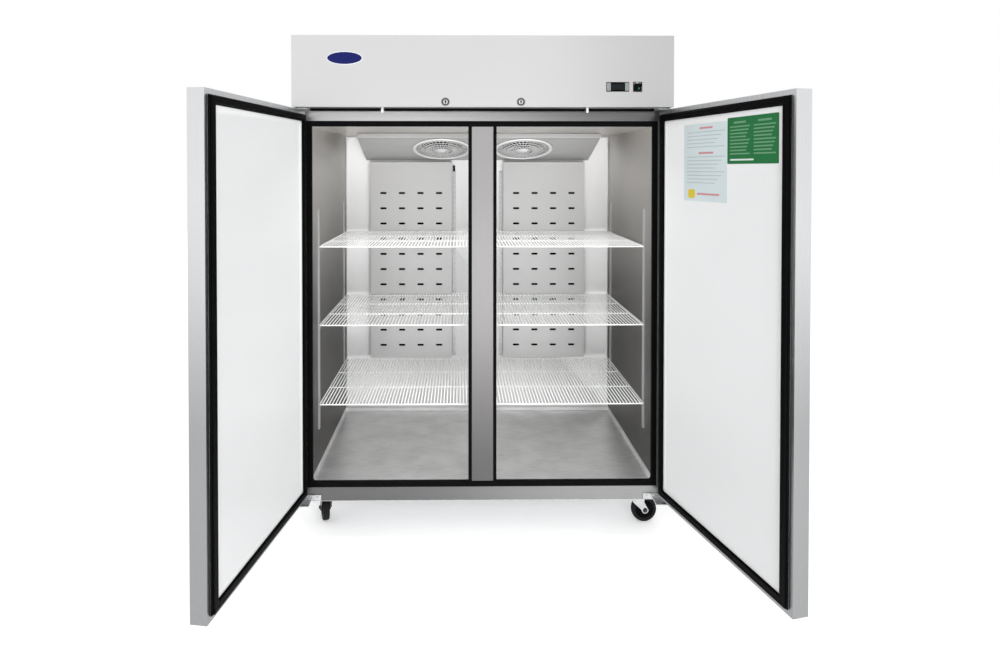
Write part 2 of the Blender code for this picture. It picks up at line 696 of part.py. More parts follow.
def build_fan_grille(side):
    """A round wire grille under the fan opening: rings joined by crossing spokes."""
    frame = fan_frame(side) @ Matrix.Translation((0, 0, -GRILLE_WIRE - GAP * 3))
    centre = axis_at(f"fan_grille_{side}_place", frame.to_translation())
    centre.rotation_euler = frame.to_euler()
    half = GRILLE_WIRE / 2
    radii = [GRILLE_RADIUS * (number + 1) / GRILLE_RINGS for number in range(GRILLE_RINGS)]

    def ring(radius):
        inner = radius - GRILLE_WIRE
        return turned([(inner, -half), (radius, -half), (radius, half), (inner, half)], 20)

    grille = add(f"fan_grille_{side}", ring(radii[-1]), white_wire(), centre)
    for radius in radii[:-1]:
        join(grille, ring(radius))
    reach, thin = GRILLE_RADIUS - half, half - GAP
    for turn in (0.0, math.radians(90)):
        bar = block((-reach, -half, -thin), (reach, half, thin))
        join(grille, moved(bar, Matrix.Rotation(turn, 4, "Z")))


# Machine compartment


def lock_z():
    return PANEL_LOW + LOCK_HEIGHT


def cam_front_y():
    """The front face of a lock's cam, just behind the panel's lower lip."""
    return DOOR_FRONT_Y + PANEL_LIP + RUNNING * 2


def build_service_panel():
    """The front cover of the machine compartment, hung on its top edge, with its controls' openings."""
    axis = axis_at("service_panel_hinge", (0, PANEL_REAR_Y, PANEL_HIGH - SHEET / 2))
    x, front = HALF_WIDTH - PANEL_SIDE_MARGIN, DOOR_FRONT_Y - PANEL_REAR_Y
    low, high = PANEL_LOW - axis.location.z, PANEL_HIGH - axis.location.z
    panel = add("service_panel", block((-x, front, low), (x, 0, high)), stainless(), axis)
    cut(panel, block((-x + SHEET, front + SHEET, low + SHEET), (x - SHEET, OVERCUT, high - SHEET)))
    cut(panel, block((-x + SHEET, front + PANEL_LIP, low - OVERCUT), (x - SHEET, OVERCUT, low + SHEET * 2)))
    for sign in SIDES.values():
        centre = (sign * LOCK_OFFSET, lock_z() - axis.location.z)
        start = Vector((centre[0], front - OVERCUT, centre[1]))
        cut(panel, rod(start, start + Vector((0, OVERCUT * 2, 0)), LOCK_BARREL_RADIUS + GAP))
    openings = ((THERMOSTAT_CENTRE, THERMOSTAT_SIZE), (ROCKER_CENTRE, ROCKER_SIZE))
    for centre_x, (width, height) in openings:
        half_x, half_z = width / 2 - BEZEL_RIM + GAP, height / 2 - BEZEL_RIM + GAP
        centre_z = PANEL_LOW + CONTROLS_HEIGHT - axis.location.z
        opening_low = (centre_x - half_x, front - OVERCUT, centre_z - half_z)
        cut(panel, block(opening_low, (centre_x + half_x, front + OVERCUT, centre_z + half_z)))
    return axis


def build_locks():
    """Key locks near the panel's lower edge, with a cam that turns down into each door."""
    for side, sign in SIDES.items():
        axis = axis_at(f"lock_{side}_axis", (sign * LOCK_OFFSET, DOOR_FRONT_Y, lock_z()))
        cam = cam_front_y() - DOOR_FRONT_Y
        flange = rod((0, -GAP - LOCK_FLANGE, 0), (0, -GAP, 0), LOCK_RADIUS, 24)
        plug = add(f"lock_{side}", flange, zinc(), axis)
        join(plug, rod((0, -GAP * 2, 0), (0, LOCK_BARREL_LENGTH, 0), LOCK_BARREL_RADIUS))
        join(plug, block((0, cam, -CAM_WIDTH / 2), (sign * CAM_LENGTH, cam + CAM_SHEET, CAM_WIDTH / 2)))
        cut(plug, block((-LOCK_RADIUS / 2, -OVERCUT, -SHEET / 2), (LOCK_RADIUS / 2, -GAP * 6, SHEET / 2)))


def build_thermostat(panel_axis):
    """The digital thermostat: a bezel with a sunk display, and two keys on each side of it."""
    centre_z = PANEL_LOW + CONTROLS_HEIGHT
    width, height = THERMOSTAT_SIZE
    front, back = DOOR_FRONT_Y - GAP - THERMOSTAT_PROUD, DOOR_FRONT_Y + THERMOSTAT_BODY_DEPTH
    to_panel = Matrix.Translation(-panel_axis.location)

    def centred(width, height, y_low, y_high, x=THERMOSTAT_CENTRE, z=centre_z):
        low = (x - width / 2, y_low, z - height / 2)
        return moved(block(low, (x + width / 2, y_high, z + height / 2)), to_panel)

    bezel = add("thermostat", centred(width, height, front, DOOR_FRONT_Y - GAP), black_plastic(), panel_axis)
    join(bezel, centred(width - BEZEL_RIM * 2, height - BEZEL_RIM * 2, DOOR_FRONT_Y - GAP * 2, back))
    cut(bezel, centred(*DISPLAY_SIZE, front - OVERCUT, front + SHEET))
    key_width, key_height = KEY_SIZE
    number = 0
    for column in (-1, 1):
        for row in (1, -1):
            number += 1
            x = THERMOSTAT_CENTRE + column * KEY_OFFSETS[0]
            z = centre_z + row * KEY_OFFSETS[1]
            well_end = front + KEY_LENGTH
            cut(bezel, centred(key_width + GAP * 2, key_height + GAP * 2, front - OVERCUT, well_end, x, z))
            key = centred(key_width, key_height, front - KEY_PROUD, well_end - KEY_TRAVEL - GAP * 2, x, z)
            add(f"thermostat_key_{number}", key, grey_key(), panel_axis)


def build_rocker(panel_axis):
    """The power switch: a rocker on a cross axis in the panel's opening, resting on its lower half."""
    centre = Vector((ROCKER_CENTRE, DOOR_FRONT_Y, PANEL_LOW + CONTROLS_HEIGHT)) - panel_axis.location
    pivot = axis_at("rocker_axis", centre, parent=panel_axis)
    pivot.location.y += ROCKER_PIVOT
    half_width = ROCKER_SIZE[0] / 2 - BEZEL_RIM - RUNNING / 2
    half_height = ROCKER_SIZE[1] / 2 - BEZEL_RIM - RUNNING
    crown = -ROCKER_PROUD - ROCKER_PIVOT
    drop = half_height * math.tan(ROCKER_TILT)
    face = [(-half_height, crown - drop), (0.0, crown), (half_height, crown - drop)]
    back = [(half_height, crown + drop), (0.0, ROCKER_PIVOT / 2), (-half_height, crown + drop)]
    section = prism(face + back, -half_width, half_width)
    upright = Matrix(((0, 1, 0, 0), (0, 0, 1, 0), (1, 0, 0, 0), (0, 0, 0, 1)))
    tilted = Matrix.Rotation(ROCKER_TILT, 4, "X") @ upright
    add("rocker_switch", moved(section, tilted), black_plastic(), pivot)


def build_machine():
    """What stands on the deck: a guard round three sides, the compressor and the condenser with its fan."""
    deck = DECK_Z + GAP
    low = (-HALF_WIDTH, FACE_Y + FACE_SHEET + GAP, deck)
    guard = add("machine_guard", block(low, (HALF_WIDTH, REAR_Y, deck + GUARD_HEIGHT)), stainless())
    inside = (-HALF_WIDTH + SHEET, FACE_Y - OVERCUT, deck - OVERCUT)
    cut(guard, block(inside, (HALF_WIDTH - SHEET, REAR_Y - SHEET, deck + GUARD_HEIGHT + OVERCUT)))

    # A recessed inlet for a power lead, in the guard's rear wall.
    width, height = INLET_SIZE
    inlet = (INLET_CENTRE_X, deck + INLET_RISE + height / 2)
    for operation, grow, y_low, y_high in (
        (join, INLET_WALL, REAR_Y - SHEET / 2, REAR_Y - INLET_DEPTH - INLET_WALL),
        (cut, 0.0, REAR_Y + OVERCUT, REAR_Y - INLET_DEPTH),
    ):
        half_x, half_z = width / 2 + grow, height / 2 + grow
        inlet_low = (inlet[0] - half_x, y_low, inlet[1] - half_z)
        operation(guard, block(inlet_low, (inlet[0] + half_x, y_high, inlet[1] + half_z)))

    x, y = COMPRESSOR_PLACE
    radius, top = COMPRESSOR_RADIUS, deck + COMPRESSOR_HEIGHT
    can = rod((x, y, deck), (x, y, top - COMPRESSOR_SHOULDER), radius, 28)
    compressor = add("compressor", can, black_enamel())
    cap = radius - COMPRESSOR_CAP_INSET
    join(compressor, rod((x, y, top - COMPRESSOR_SHOULDER * 2), (x, y, top), cap, 28))
    foot_x, foot_y, foot_z = COMPRESSOR_FOOT
    join(compressor, block((x - foot_x, y - foot_y, deck), (x + foot_x, y + foot_y, deck + foot_z)))

    width, depth, height = CONDENSER_SIZE
    x, y = CONDENSER_PLACE
    fins = block((x - width / 2, y, deck), (x + width / 2, y + depth, deck + height))
    coil = add("condenser_coil", fins, copper_fins())
    shroud_high = (x + width / 2, y + depth + CONDENSER_SHROUD, deck + height)
    join(coil, block((x - width / 2, y + depth - SHEET, deck), shroud_high))
    centre = Vector((x, y + depth + CONDENSER_SHROUD / 2 + SHEET * 2, deck + height / 2))
    back = Vector((0, CONDENSER_SHROUD, 0))
    well = CONDENSER_FAN_RADIUS + RUNNING * 3
    cut(coil, rod(centre - back / 2, centre + back, well, 32))
    frame = Matrix.Translation(centre) @ Matrix.Rotation(math.radians(90), 4, "X")
    build_fan("condenser_fan", frame, CONDENSER_HUB_RADIUS, CONDENSER_FAN_RADIUS)


# Casters


def build_caster(place, centre, heading, braked):
    """A swivel caster about its kingpin, trailing along its own +X."""
    swivel = axis_at(f"caster_{place}_swivel", (*centre, 0.0), heading)
    half_gap = WHEEL_WIDTH / 2 + FORK_SIDE_GAP
    cheek = half_gap + FORK_SHEET
    crown_x = RACE_RADIUS

    crown = block((-crown_x, -cheek, CROWN_LOW), (crown_x, cheek, CROWN_HIGH))
    fork = add(f"caster_{place}_fork", crown, zinc(), swivel)
    join(fork, rod((0, 0, CROWN_HIGH - FORK_SHEET / 2), (0, 0, RACE_TOP), RACE_RADIUS, 24))
    foot = [math.pi * (1 + step / FOOT_STEPS) for step in range(FOOT_STEPS + 1)]
    rounded = [
        (CASTER_TRAIL + FORK_FOOT_RADIUS * math.cos(turn), WHEEL_RADIUS + FORK_FOOT_RADIUS * math.sin(turn))
        for turn in foot
    ]
    legs = [(crown_x, CROWN_HIGH), (-crown_x, CROWN_HIGH), *rounded]
    for side in SIDES.values():
        inner, outer = side * half_gap, side * cheek
        join(fork, prism(legs, min(inner, outer), max(inner, outer)))
    reach = cheek + FORK_SHEET
    join(fork, rod((CASTER_TRAIL, -reach, WHEEL_RADIUS), (CASTER_TRAIL, reach, WHEEL_RADIUS), AXLE_RADIUS))

    axle = axis_at(f"caster_{place}_axle", (CASTER_TRAIL, 0, WHEEL_RADIUS), parent=swivel)
    bore, hub, rim, width = AXLE_RADIUS + GAP, WHEEL_HUB_RADIUS, WHEEL_RADIUS, WHEEL_WIDTH / 2
    dish, shoulder = width * WHEEL_DISH, TYRE_CROWN / 2
    half = [(bore, width), (hub, width), (hub + TYRE_CROWN, dish), (rim - TYRE_CROWN * 2, dish)]
    half += [(rim - TYRE_CROWN - shoulder, width), (rim - shoulder, width - shoulder), (rim, dish - shoulder)]
    profile = half + [(radius, -height) for radius, height in reversed(half)]
    wheel = moved(turned(profile, 24), Matrix.Rotation(math.radians(90), 4, "X"))
    add(f"caster_{place}_wheel", wheel, gasket_rubber(), axle, smooth=True)
    if braked:
        build_pedal(place, swivel)


def build_pedal(place, swivel):
    """The brake pedal, on a knuckle beside the fork's crown."""
    length, breadth, thick = PEDAL_SIZE
    knuckle = thick / 2 + SHEET / 2
    hinge_x = RACE_RADIUS + RUNNING + knuckle
    hinge = axis_at(f"caster_{place}_pedal_hinge", (hinge_x, 0, CROWN_HIGH + thick), parent=swivel)
    plate = block((0, -breadth / 2, -thick / 2), (length, breadth / 2, thick / 2))
    pedal = add(f"caster_{place}_pedal", plate, black_plastic(), hinge)
    pedal.rotation_euler.y = PEDAL_SLOPE
    join(pedal, rod((0, -breadth / 2, 0), (0, breadth / 2, 0), knuckle, 12))


def build():
    for old in list(bpy.data.objects):
        bpy.data.objects.remove(old)
    build_cabinet()
    build_front_frame()
    build_base()
    for side in SIDES:
        build_door(side)
        build_hinge_brackets(side)
        build_air_duct(side)
        build_pilasters(side)
        for number, height in enumerate(SHELF_HEIGHTS, start=1):
            build_shelf(side, number, height)
        build_fan_grille(side)
        above = Matrix.Translation((0, 0, HOUSING_SHEET + FAN_THICKNESS))
        build_fan(f"evaporator_fan_{side}", fan_frame(side) @ above, FAN_HUB_RADIUS, FAN_RADIUS)
    build_evaporator()
    panel_axis = build_service_panel()
    build_locks()
    build_thermostat(panel_axis)
    build_rocker(panel_axis)
    build_machine()
    for place, centre in caster_places().items():
        build_caster(place, centre, CASTER_HEADINGS[place], place.startswith("front"))


build()
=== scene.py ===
"""Looks of the two-door reach-in refrigerator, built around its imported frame.

Metres, +Z up; the doors face -Y and stand open at rest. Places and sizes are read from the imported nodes
and joints, or given here in metres.
"""

import json
import math

import bmesh
import bpy
from mathutils import Matrix, Vector


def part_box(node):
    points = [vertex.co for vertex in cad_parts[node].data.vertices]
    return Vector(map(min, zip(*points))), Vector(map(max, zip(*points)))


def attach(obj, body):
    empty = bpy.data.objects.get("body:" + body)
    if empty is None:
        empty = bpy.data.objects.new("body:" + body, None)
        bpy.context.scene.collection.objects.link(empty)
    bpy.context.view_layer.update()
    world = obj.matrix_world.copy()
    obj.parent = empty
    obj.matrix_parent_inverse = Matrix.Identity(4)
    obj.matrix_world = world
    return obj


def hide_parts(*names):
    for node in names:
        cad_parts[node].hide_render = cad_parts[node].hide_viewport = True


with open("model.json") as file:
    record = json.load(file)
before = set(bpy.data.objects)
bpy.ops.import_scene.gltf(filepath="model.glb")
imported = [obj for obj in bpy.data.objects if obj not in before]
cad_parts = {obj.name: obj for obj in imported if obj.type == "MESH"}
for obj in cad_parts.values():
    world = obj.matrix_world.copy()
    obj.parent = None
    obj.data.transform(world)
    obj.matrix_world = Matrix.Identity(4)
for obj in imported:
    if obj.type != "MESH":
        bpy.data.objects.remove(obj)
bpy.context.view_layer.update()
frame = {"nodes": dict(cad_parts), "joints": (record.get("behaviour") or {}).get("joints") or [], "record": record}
NODES = frame["nodes"]
JOINTS = {joint["name"]: joint for joint in frame["joints"]}
OPENINGS = {opening["name"]: opening["box_m"] for opening in frame["record"]["physics"]["openings"]}
SIDES = {"left": -1, "right": 1}
CASTERS = ("front_left", "front_right", "rear_left", "rear_right")


# Places


def aimed(origin, z_axis, x_hint=None):
    """Axes at a point with Z along a direction, and X as near as it can be to the hint."""
    z = Vector(z_axis).normalized()
    x = Vector(x_hint) if x_hint else z.orthogonal()
    y = z.cross(x).normalized()
    turn = Matrix((y.cross(z), y, z)).transposed().to_4x4()
    return Matrix.Translation(origin) @ turn


def local_box(place, node):
    """Lowest and highest corner of a CAD node at rest, in the axes of a place."""
    back = place.inverted() @ NODES[node].matrix_world
    points = [back @ vertex.co for vertex in NODES[node].data.vertices]
    low = Vector([min(point[axis] for point in points) for axis in range(3)])
    return low, Vector([max(point[axis] for point in points) for axis in range(3)])


def door_place(side):
    """A door's own axes on its hinge line: X across it, Y out of its lined face and Z up."""
    joint = JOINTS[f"door_{side}_swing"]
    turn = -math.radians(joint["range_deg"][0]) * SIDES[side]
    x, y, _ = joint["pos_m"]
    return Matrix.Translation((x, y, 0)) @ Matrix.Rotation(turn, 4, "Z")


def joint_place(name, x_hint=None):
    return aimed(JOINTS[name]["pos_m"], JOINTS[name]["axis"], x_hint)


# Materials

LOOKS = {}
ACROSS = (5, 700, 700)
UPRIGHT = (700, 700, 5)
FINISHES = {
    # colour, roughness, metallic, grain, uneven tone, uneven roughness, relief, patch scale, specular
    "panel_steel": ((0.73, 0.73, 0.73), 0.36, 1.0, ACROSS, 0.015, 0.04, 0.02, 1.5, 0.5),
    "top_rail_steel": ((0.56, 0.56, 0.56), 0.32, 1.0, ACROSS, 0.04, 0.05, 0.03, 2.0, 0.5),
    # Painted shade: the front frame's steel is a darkened copy of the rail steel, as dark as the shaded bottom
    # rail looks.
    "bottom_rail_steel": ((0.17, 0.17, 0.17), 0.34, 1.0, ACROSS, 0.06, 0.05, 0.03, 2.0, 0.5),
    "door_steel": ((0.72, 0.73, 0.74), 0.30, 1.0, UPRIGHT, 0.03, 0.05, 0.03, 2.0, 0.5),
    "shell_steel": ((0.62, 0.62, 0.63), 0.36, 1.0, UPRIGHT, 0.03, 0.05, 0.03, 1.8, 0.5),
    "mullion_steel": ((0.43, 0.42, 0.425), 0.36, 1.0, UPRIGHT, 0.03, 0.04, 0.03, 2.0, 0.5),
    "liner_steel": ((0.76, 0.735, 0.705), 0.42, 1.0, UPRIGHT, 0.03, 0.05, 0.04, 2.2, 0.5),
    "rear_steel": ((0.84, 0.84, 0.84), 0.44, 1.0, UPRIGHT, 0.03, 0.05, 0.03, 2.0, 0.5),
    "floor_steel": ((0.90, 0.90, 0.90), 0.38, 0.80, (18, 120, 120), 0.12, 0.08, 0.12, 9.0, 0.5),
    "duct_steel": ((0.71, 0.71, 0.71), 0.50, 0.95, UPRIGHT, 0.02, 0.05, 0.02, 3.0, 0.5),
    "cover_enamel": ((0.50, 0.50, 0.50), 0.40, 0.15, 200, 0.03, 0.05, 0.03, 4.0, 0.5),
    "zinc": ((0.60, 0.61, 0.62), 0.28, 0.8, 260, 0.16, 0.08, 0.06, 40.0, 0.5),
    "strip_zinc": ((0.62, 0.62, 0.63), 0.34, 0.9, UPRIGHT, 0.03, 0.05, 0.02, 6.0, 0.5),
    "chrome": ((0.36, 0.36, 0.37), 0.14, 1.0, 300, 0.03, 0.04, 0.01, 30.0, 0.5),
    "black_plastic": ((0.003, 0.003, 0.0033), 0.45, 0.0, 900, 0.20, 0.07, 0.12, 12.0, 0.04),
    "gasket_rubber": ((0.002, 0.002, 0.0022), 0.50, 0.0, 500, 0.25, 0.08, 0.08, 10.0, 0.04),
    "tyre_rubber": ((0.008, 0.008, 0.0085), 0.58, 0.0, 700, 0.30, 0.10, 0.20, 30.0, 0.15),
    "white_sheet": ((0.70, 0.705, 0.71), 0.32, 0.0, 350, 0.012, 0.05, 0.03, 2.0, 0.3),
    "white_wire": ((0.90, 0.90, 0.89), 0.30, 0.0, 400, 0.02, 0.06, 0.04, 12.0, 0.5),
    "guard_wire": ((0.82, 0.82, 0.82), 0.32, 0.1, 400, 0.02, 0.06, 0.04, 12.0, 0.5),
    "insulation": ((0.80, 0.70, 0.45), 0.90, 0.0, 300, 0.12, 0.05, 0.50, 20.0, 0.5),
    "silver_key": ((0.20, 0.22, 0.225), 0.42, 0.2, 900, 0.05, 0.05, 0.10, 40.0, 0.5),
    "dark_glass": ((0.004, 0.005, 0.006), 0.10, 0.0, 80, 0.10, 0.03, 0.0, 20.0, 0.2),
    "green_lens": ((0.02, 0.13, 0.075), 0.25, 0.0, 200, 0.10, 0.05, 0.02, 60.0, 0.5),
    "badge_blue": ((0.006, 0.009, 0.085), 0.22, 0.0, 120, 0.06, 0.04, 0.01, 20.0, 0.15),
    "badge_rim": ((0.78, 0.79, 0.84), 0.25, 0.4, 200, 0.03, 0.05, 0.01, 20.0, 0.5),
    "black_enamel": ((0.010, 0.010, 0.011), 0.24, 0.0, 150, 0.15, 0.08, 0.06, 14.0, 0.6),
    "copper": ((0.72, 0.38, 0.24), 0.28, 1.0, 120, 0.15, 0.10, 0.03, 30.0, 0.5),
    "fin_metal": ((0.70, 0.70, 0.69), 0.38, 1.0, (30, 30, 600), 0.08, 0.08, 0.10, 12.0, 0.5),
    "studio_floor": ((0.97, 0.97, 0.97), 0.6, 0.0, 20, 0.003, 0.05, 0.0, 1.0, 0.0),
}
CARD_COLOURS = {
    "card_pale": (0.56, 0.63, 0.645),
    "card_green": (0.014, 0.135, 0.040),
    "card_red": (0.52, 0.24, 0.26),
    "card_grey": (0.36, 0.41, 0.43),
    "card_amber": (0.62, 0.48, 0.04),
    "card_mint": (0.13, 0.28, 0.16),
    "card_white": (0.60, 0.68, 0.62),
}
for name, colour in CARD_COLOURS.items():
    FINISHES[name] = (colour, 0.55, 0.0, 250, 0.03, 0.05, 0.05, 8.0, 0.2)
PAINTED_SHADING = {
    # Painted light and shade: each finish here is darkened along one axis where shade falls, and the bottom rail
    # is lightened where light falls; axis, where the tone starts to change, where it ends, the share of the tone
    # there
    "panel_steel": ("X", 0.1, 0.75, 0.80),
    "top_rail_steel": ("X", -0.35, 0.55, 0.33),
    "bottom_rail_steel": ("X", -0.45, 0.55, 2.1),
    "door_steel": ("Z", 1.35, 0.60, 0.42),
    "shell_steel": ("Z", 1.2, 0.1, 0.80),
    "mullion_steel": ("Z", 1.25, 0.20, 0.36),
    "liner_steel": ("Z", 1.55, 0.66, 0.20),
    "cover_enamel": ("Z", 1.525, 1.545, 0.70),
    "white_sheet": ("Z", 0.9, 0.2, 0.93),
}


def ranged(tree, value, ends, results, kind="LINEAR"):
    """Maps a value between two ends to a number between two results."""
    node = tree.nodes.new("ShaderNodeMapRange")
    node.interpolation_type = kind
    for socket, number in zip(("From Min", "From Max", "To Min", "To Max"), (*ends, *results)):
        node.inputs[socket].default_value = number
    tree.links.new(value, node.inputs["Value"])
    return node.outputs["Result"]


def noise(tree, vector, scale, detail):
    node = tree.nodes.new("ShaderNodeTexNoise")
    node.inputs["Scale"].default_value = scale
    node.inputs["Detail"].default_value = detail
    tree.links.new(vector, node.inputs["Vector"])
    return node.outputs["Fac"]


def painted_shading(tree, place, tone, axis, start, end, share):
    """Paints light and shade into a tone along one axis: multiplies it by 1 before the start, by the share past
    the end, and smoothly between.
    """
    parts = tree.nodes.new("ShaderNodeSeparateXYZ")
    tree.links.new(place, parts.inputs["Vector"])
    scaled = tree.nodes.new("ShaderNodeVectorMath")
    scaled.operation = "SCALE"
    tree.links.new(tone, scaled.inputs["Vector"])
    change = ranged(tree, parts.outputs[axis], (start, end), (1.0, share), "SMOOTHSTEP")
    tree.links.new(change, scaled.inputs["Scale"])
    return scaled.outputs["Vector"]


def surface(name):
    """A finish whose grain is noise stretched over the object, with broad patches of a changed tone, and for some
    finishes painted light and shade along one axis.
    """
    if name in LOOKS:
        return LOOKS[name]
    colour, roughness, metallic, grain, uneven, rub, relief, patch, specular = FINISHES[name]
    look = LOOKS[name] = bpy.data.materials.new(f"look_{name}")
    look.use_nodes = True
    tree = look.node_tree
    nodes, links = tree.nodes, tree.links
    shader = nodes["Principled BSDF"]
    shader.inputs["Metallic"].default_value = metallic
    shader.inputs["Specular IOR Level"].default_value = specular
    place = nodes.new("ShaderNodeTexCoord").outputs["Object"]
    stretch = nodes.new("ShaderNodeMapping")
    stretch.inputs["Scale"].default_value = grain if isinstance(grain, tuple) else (grain,) * 3
    links.new(place, stretch.inputs["Vector"])
    fine = noise(tree, stretch.outputs["Vector"], 1.0, 4.0)

    both = nodes.new("ShaderNodeMath")
    both.operation = "ADD"
    links.new(fine, both.inputs[0])
    links.new(noise(tree, place, patch, 2.0), both.inputs[1])
    mix = nodes.new("ShaderNodeMix")
    mix.data_type = "RGBA"
    mix.inputs["A"].default_value = (*[part * (1 - uneven) for part in colour], 1)
    mix.inputs["B"].default_value = (*[min(part * (1 + uneven), 1) for part in colour], 1)
    links.new(ranged(tree, both.outputs["Value"], (0.7, 1.3), (0, 1)), mix.inputs["Factor"])
    tone = mix.outputs["Result"]
    # Painted light and shade: some finishes are darkened or lightened along one axis.
    if name in PAINTED_SHADING:
        tone = painted_shading(tree, place, tone, *PAINTED_SHADING[name])
    links.new(tone, shader.inputs["Base Color"])
    worn = ranged(tree, fine, (0.3, 0.7), (roughness - rub, roughness + rub))
    links.new(worn, shader.inputs["Roughness"])

    bump = nodes.new("ShaderNodeBump")
    bump.inputs["Strength"].default_value = relief
    bump.inputs["Distance"].default_value = 0.001
    links.new(fine, bump.inputs["Height"])
    links.new(bump.outputs["Normal"], shader.inputs["Normal"])
    return look


# Shapes


def loft(bm, rings, wrap=False, ends=True):
    """Joins rings of equal length with faces, and closes both ends or joins the last ring to the first."""
    rows = [[bm.verts.new(point) for point in ring] for ring in rings]
    for one, two in zip(rows, rows[1:] + rows[:1] if wrap else rows[1:]):
        for number, (a, b) in enumerate(zip(one, two)):
            bm.faces.new((one[number - 1], a, b, two[number - 1]))
    if ends and not wrap:
        bm.faces.new(rows[0])
        bm.faces.new(rows[-1])


def arc(x, y, radius, start, end, steps):
    """Points (x, y) on an arc between two angles in degrees, with both ends."""
    turns = [math.radians(start + (end - start) * step / steps) for step in range(steps + 1)]
    return [(x + radius * math.cos(turn), y + radius * math.sin(turn)) for turn in turns]


def divided(low, high, steps):
    """Points round the rectangle between two corners, with each side in equal steps."""
    corners = [Vector(corner) for corner in (low, (high[0], low[1]), high, (low[0], high[1]))]
    sides = zip(corners, corners[1:] + corners[:1])
    return [a.lerp(b, step / steps) for a, b in sides for step in range(steps)]


def circle(radius, height=0.0, sides=24):
    turns = [math.tau * step / sides for step in range(sides)]
    return [Vector((radius * math.cos(turn), radius * math.sin(turn), height)) for turn in turns]


def lathe(bm, profile, place=Matrix(), sides=24, wrap=False):
    """Turns (radius, height) points about the place's Z axis."""
    rings = [circle(radius, height, sides) for radius, height in profile]
    loft(bm, [[place @ point for point in ring] for ring in rings], wrap)


def rod(bm, start, end, radius, sides=12):
    start, end = Vector(start), Vector(end)
    lathe(bm, [(radius, 0), (radius, (end - start).length)], aimed(start, end - start), sides)


def tube(bm, points, radius, sides=8, closed=False):
    """A round wire or pipe that follows points, with its section carried along without twist."""
    points = [Vector(point) for point in points]
    count = len(points)
    rings, normal = [], None
    for number, point in enumerate(points):
        before = points[number - 1] if number or closed else point
        after = points[(number + 1) % count] if number + 1 < count or closed else point
        along = (after - before).normalized()
        normal = along.orthogonal() if normal is None else normal
        normal = (normal - along * normal.dot(along)).normalized()
        turn = aimed(point, along, normal)
        rings.append([turn @ spot for spot in circle(radius, 0.0, sides)])
    loft(bm, rings, closed)


def block(bm, low, high, place=Matrix()):
    (x0, y0, z0), (x1, y1, z1) = low, high
    corners = ((x0, y0), (x1, y0), (x1, y1), (x0, y1))
    loft(bm, [[place @ Vector((x, y, z)) for x, y in corners] for z in (z0, z1)])


def rounded(width, height, radius, steps=4):
    """A rectangle about the origin with round corners, as (x, y) points."""
    points = []
    for corner, (sx, sy) in enumerate(((1, 1), (-1, 1), (-1, -1), (1, -1))):
        x, y = sx * (width / 2 - radius), sy * (height / 2 - radius)
        points += arc(x, y, radius, 90 * corner, 90 * corner + 90, steps)
    return points


def prism(bm, outline, low, high, place=Matrix()):
    """Extrudes an (x, y) outline along the place's Z axis."""
    loft(bm, [[place @ Vector((x, y, z)) for x, y in outline] for z in (low, high)])


def stepped(bm, place, width, height, steps):
    """Joins round-cornered rectangles, each (growth, level, corner radius), into one closed skin."""
    rings = []
    for grow, level, radius in steps:
        outline = rounded(width + grow, height + grow, radius)
        rings.append([place @ Vector((x, y, level)) for x, y in outline])
    loft(bm, rings)


def mitred(bm, low, high, profile, place=Matrix()):
    """Runs a closed (inward, y) profile round the rectangle between two corners in X and Z."""
    rings = []
    for inward, y in profile:
        x0, x1, z0, z1 = low[0] + inward, high[0] - inward, low[2] + inward, high[2] - inward
        rings.append([place @ Vector((x, y, z)) for x, z in ((x0, z0), (x1, z0), (x1, z1), (x0, z1))])
    loft(bm, rings, wrap=True)


def punched(bm, us, vs, holes, place=Matrix(), steps=4):
    """A flat sheet in cells between the lines us and vs, with a round-ended slot in each cell of holes."""
    for i, (u0, u1) in enumerate(zip(us, us[1:])):
        for j, (v0, v1) in enumerate(zip(vs, vs[1:])):
            rim = [bm.verts.new(place @ Vector((u, v, 0))) for u, v in divided((u0, v0), (u1, v1), steps)]
            if (i, j) not in holes:
                bm.faces.new(rim)
                continue
            width, height = holes[i, j]
            u, v, radius, half = (u0 + u1) / 2, (v0 + v1) / 2, height / 2, (width - height) / 2
            slot = []
            for sign in (1, -1):
                shares = [sign * (2 * step / steps - 1) for step in range(steps)]
                slot += [(u + half * share, v - sign * radius) for share in shares]
                slot += arc(u + sign * half, v, radius, -90 * sign, 180 - 90 * sign, steps)[:-1]
            ring = [bm.verts.new(place @ Vector((*spot, 0))) for spot in slot]
            for number, (a, b) in enumerate(zip(rim, ring)):
                bm.faces.new((rim[number - 1], a, b, ring[number - 1]))
    bmesh.ops.remove_doubles(bm, verts=bm.verts, dist=1e-6)


def walls(bm, low, high, sheet):
    """The two sides, the top and the bottom of a box that is open in front and behind."""
    for x in (low[0], high[0] - sheet):
        block(bm, (x, low[1], low[2]), (x + sheet, high[1], high[2]))
    for z in (low[2], high[2] - sheet):
        block(bm, (low[0] + sheet, low[1], z), (high[0] - sheet, high[1], z + sheet))


def facing(y):
    """Axes of an upright plane that is seen from the front: X stays X, and its Y is +Z."""
    return Matrix(((1, 0, 0, 0), (0, 0, -1, y), (0, 1, 0, 0), (0, 0, 0, 1)))


def crosswise(x=0.0):
    """Axes of an upright plane that is seen from the side: its X is +Y, its Y is +Z and its Z is +X."""
    return Matrix(((0, 0, 1, x), (1, 0, 0, 0), (0, 1, 0, 0), (0, 0, 0, 1)))


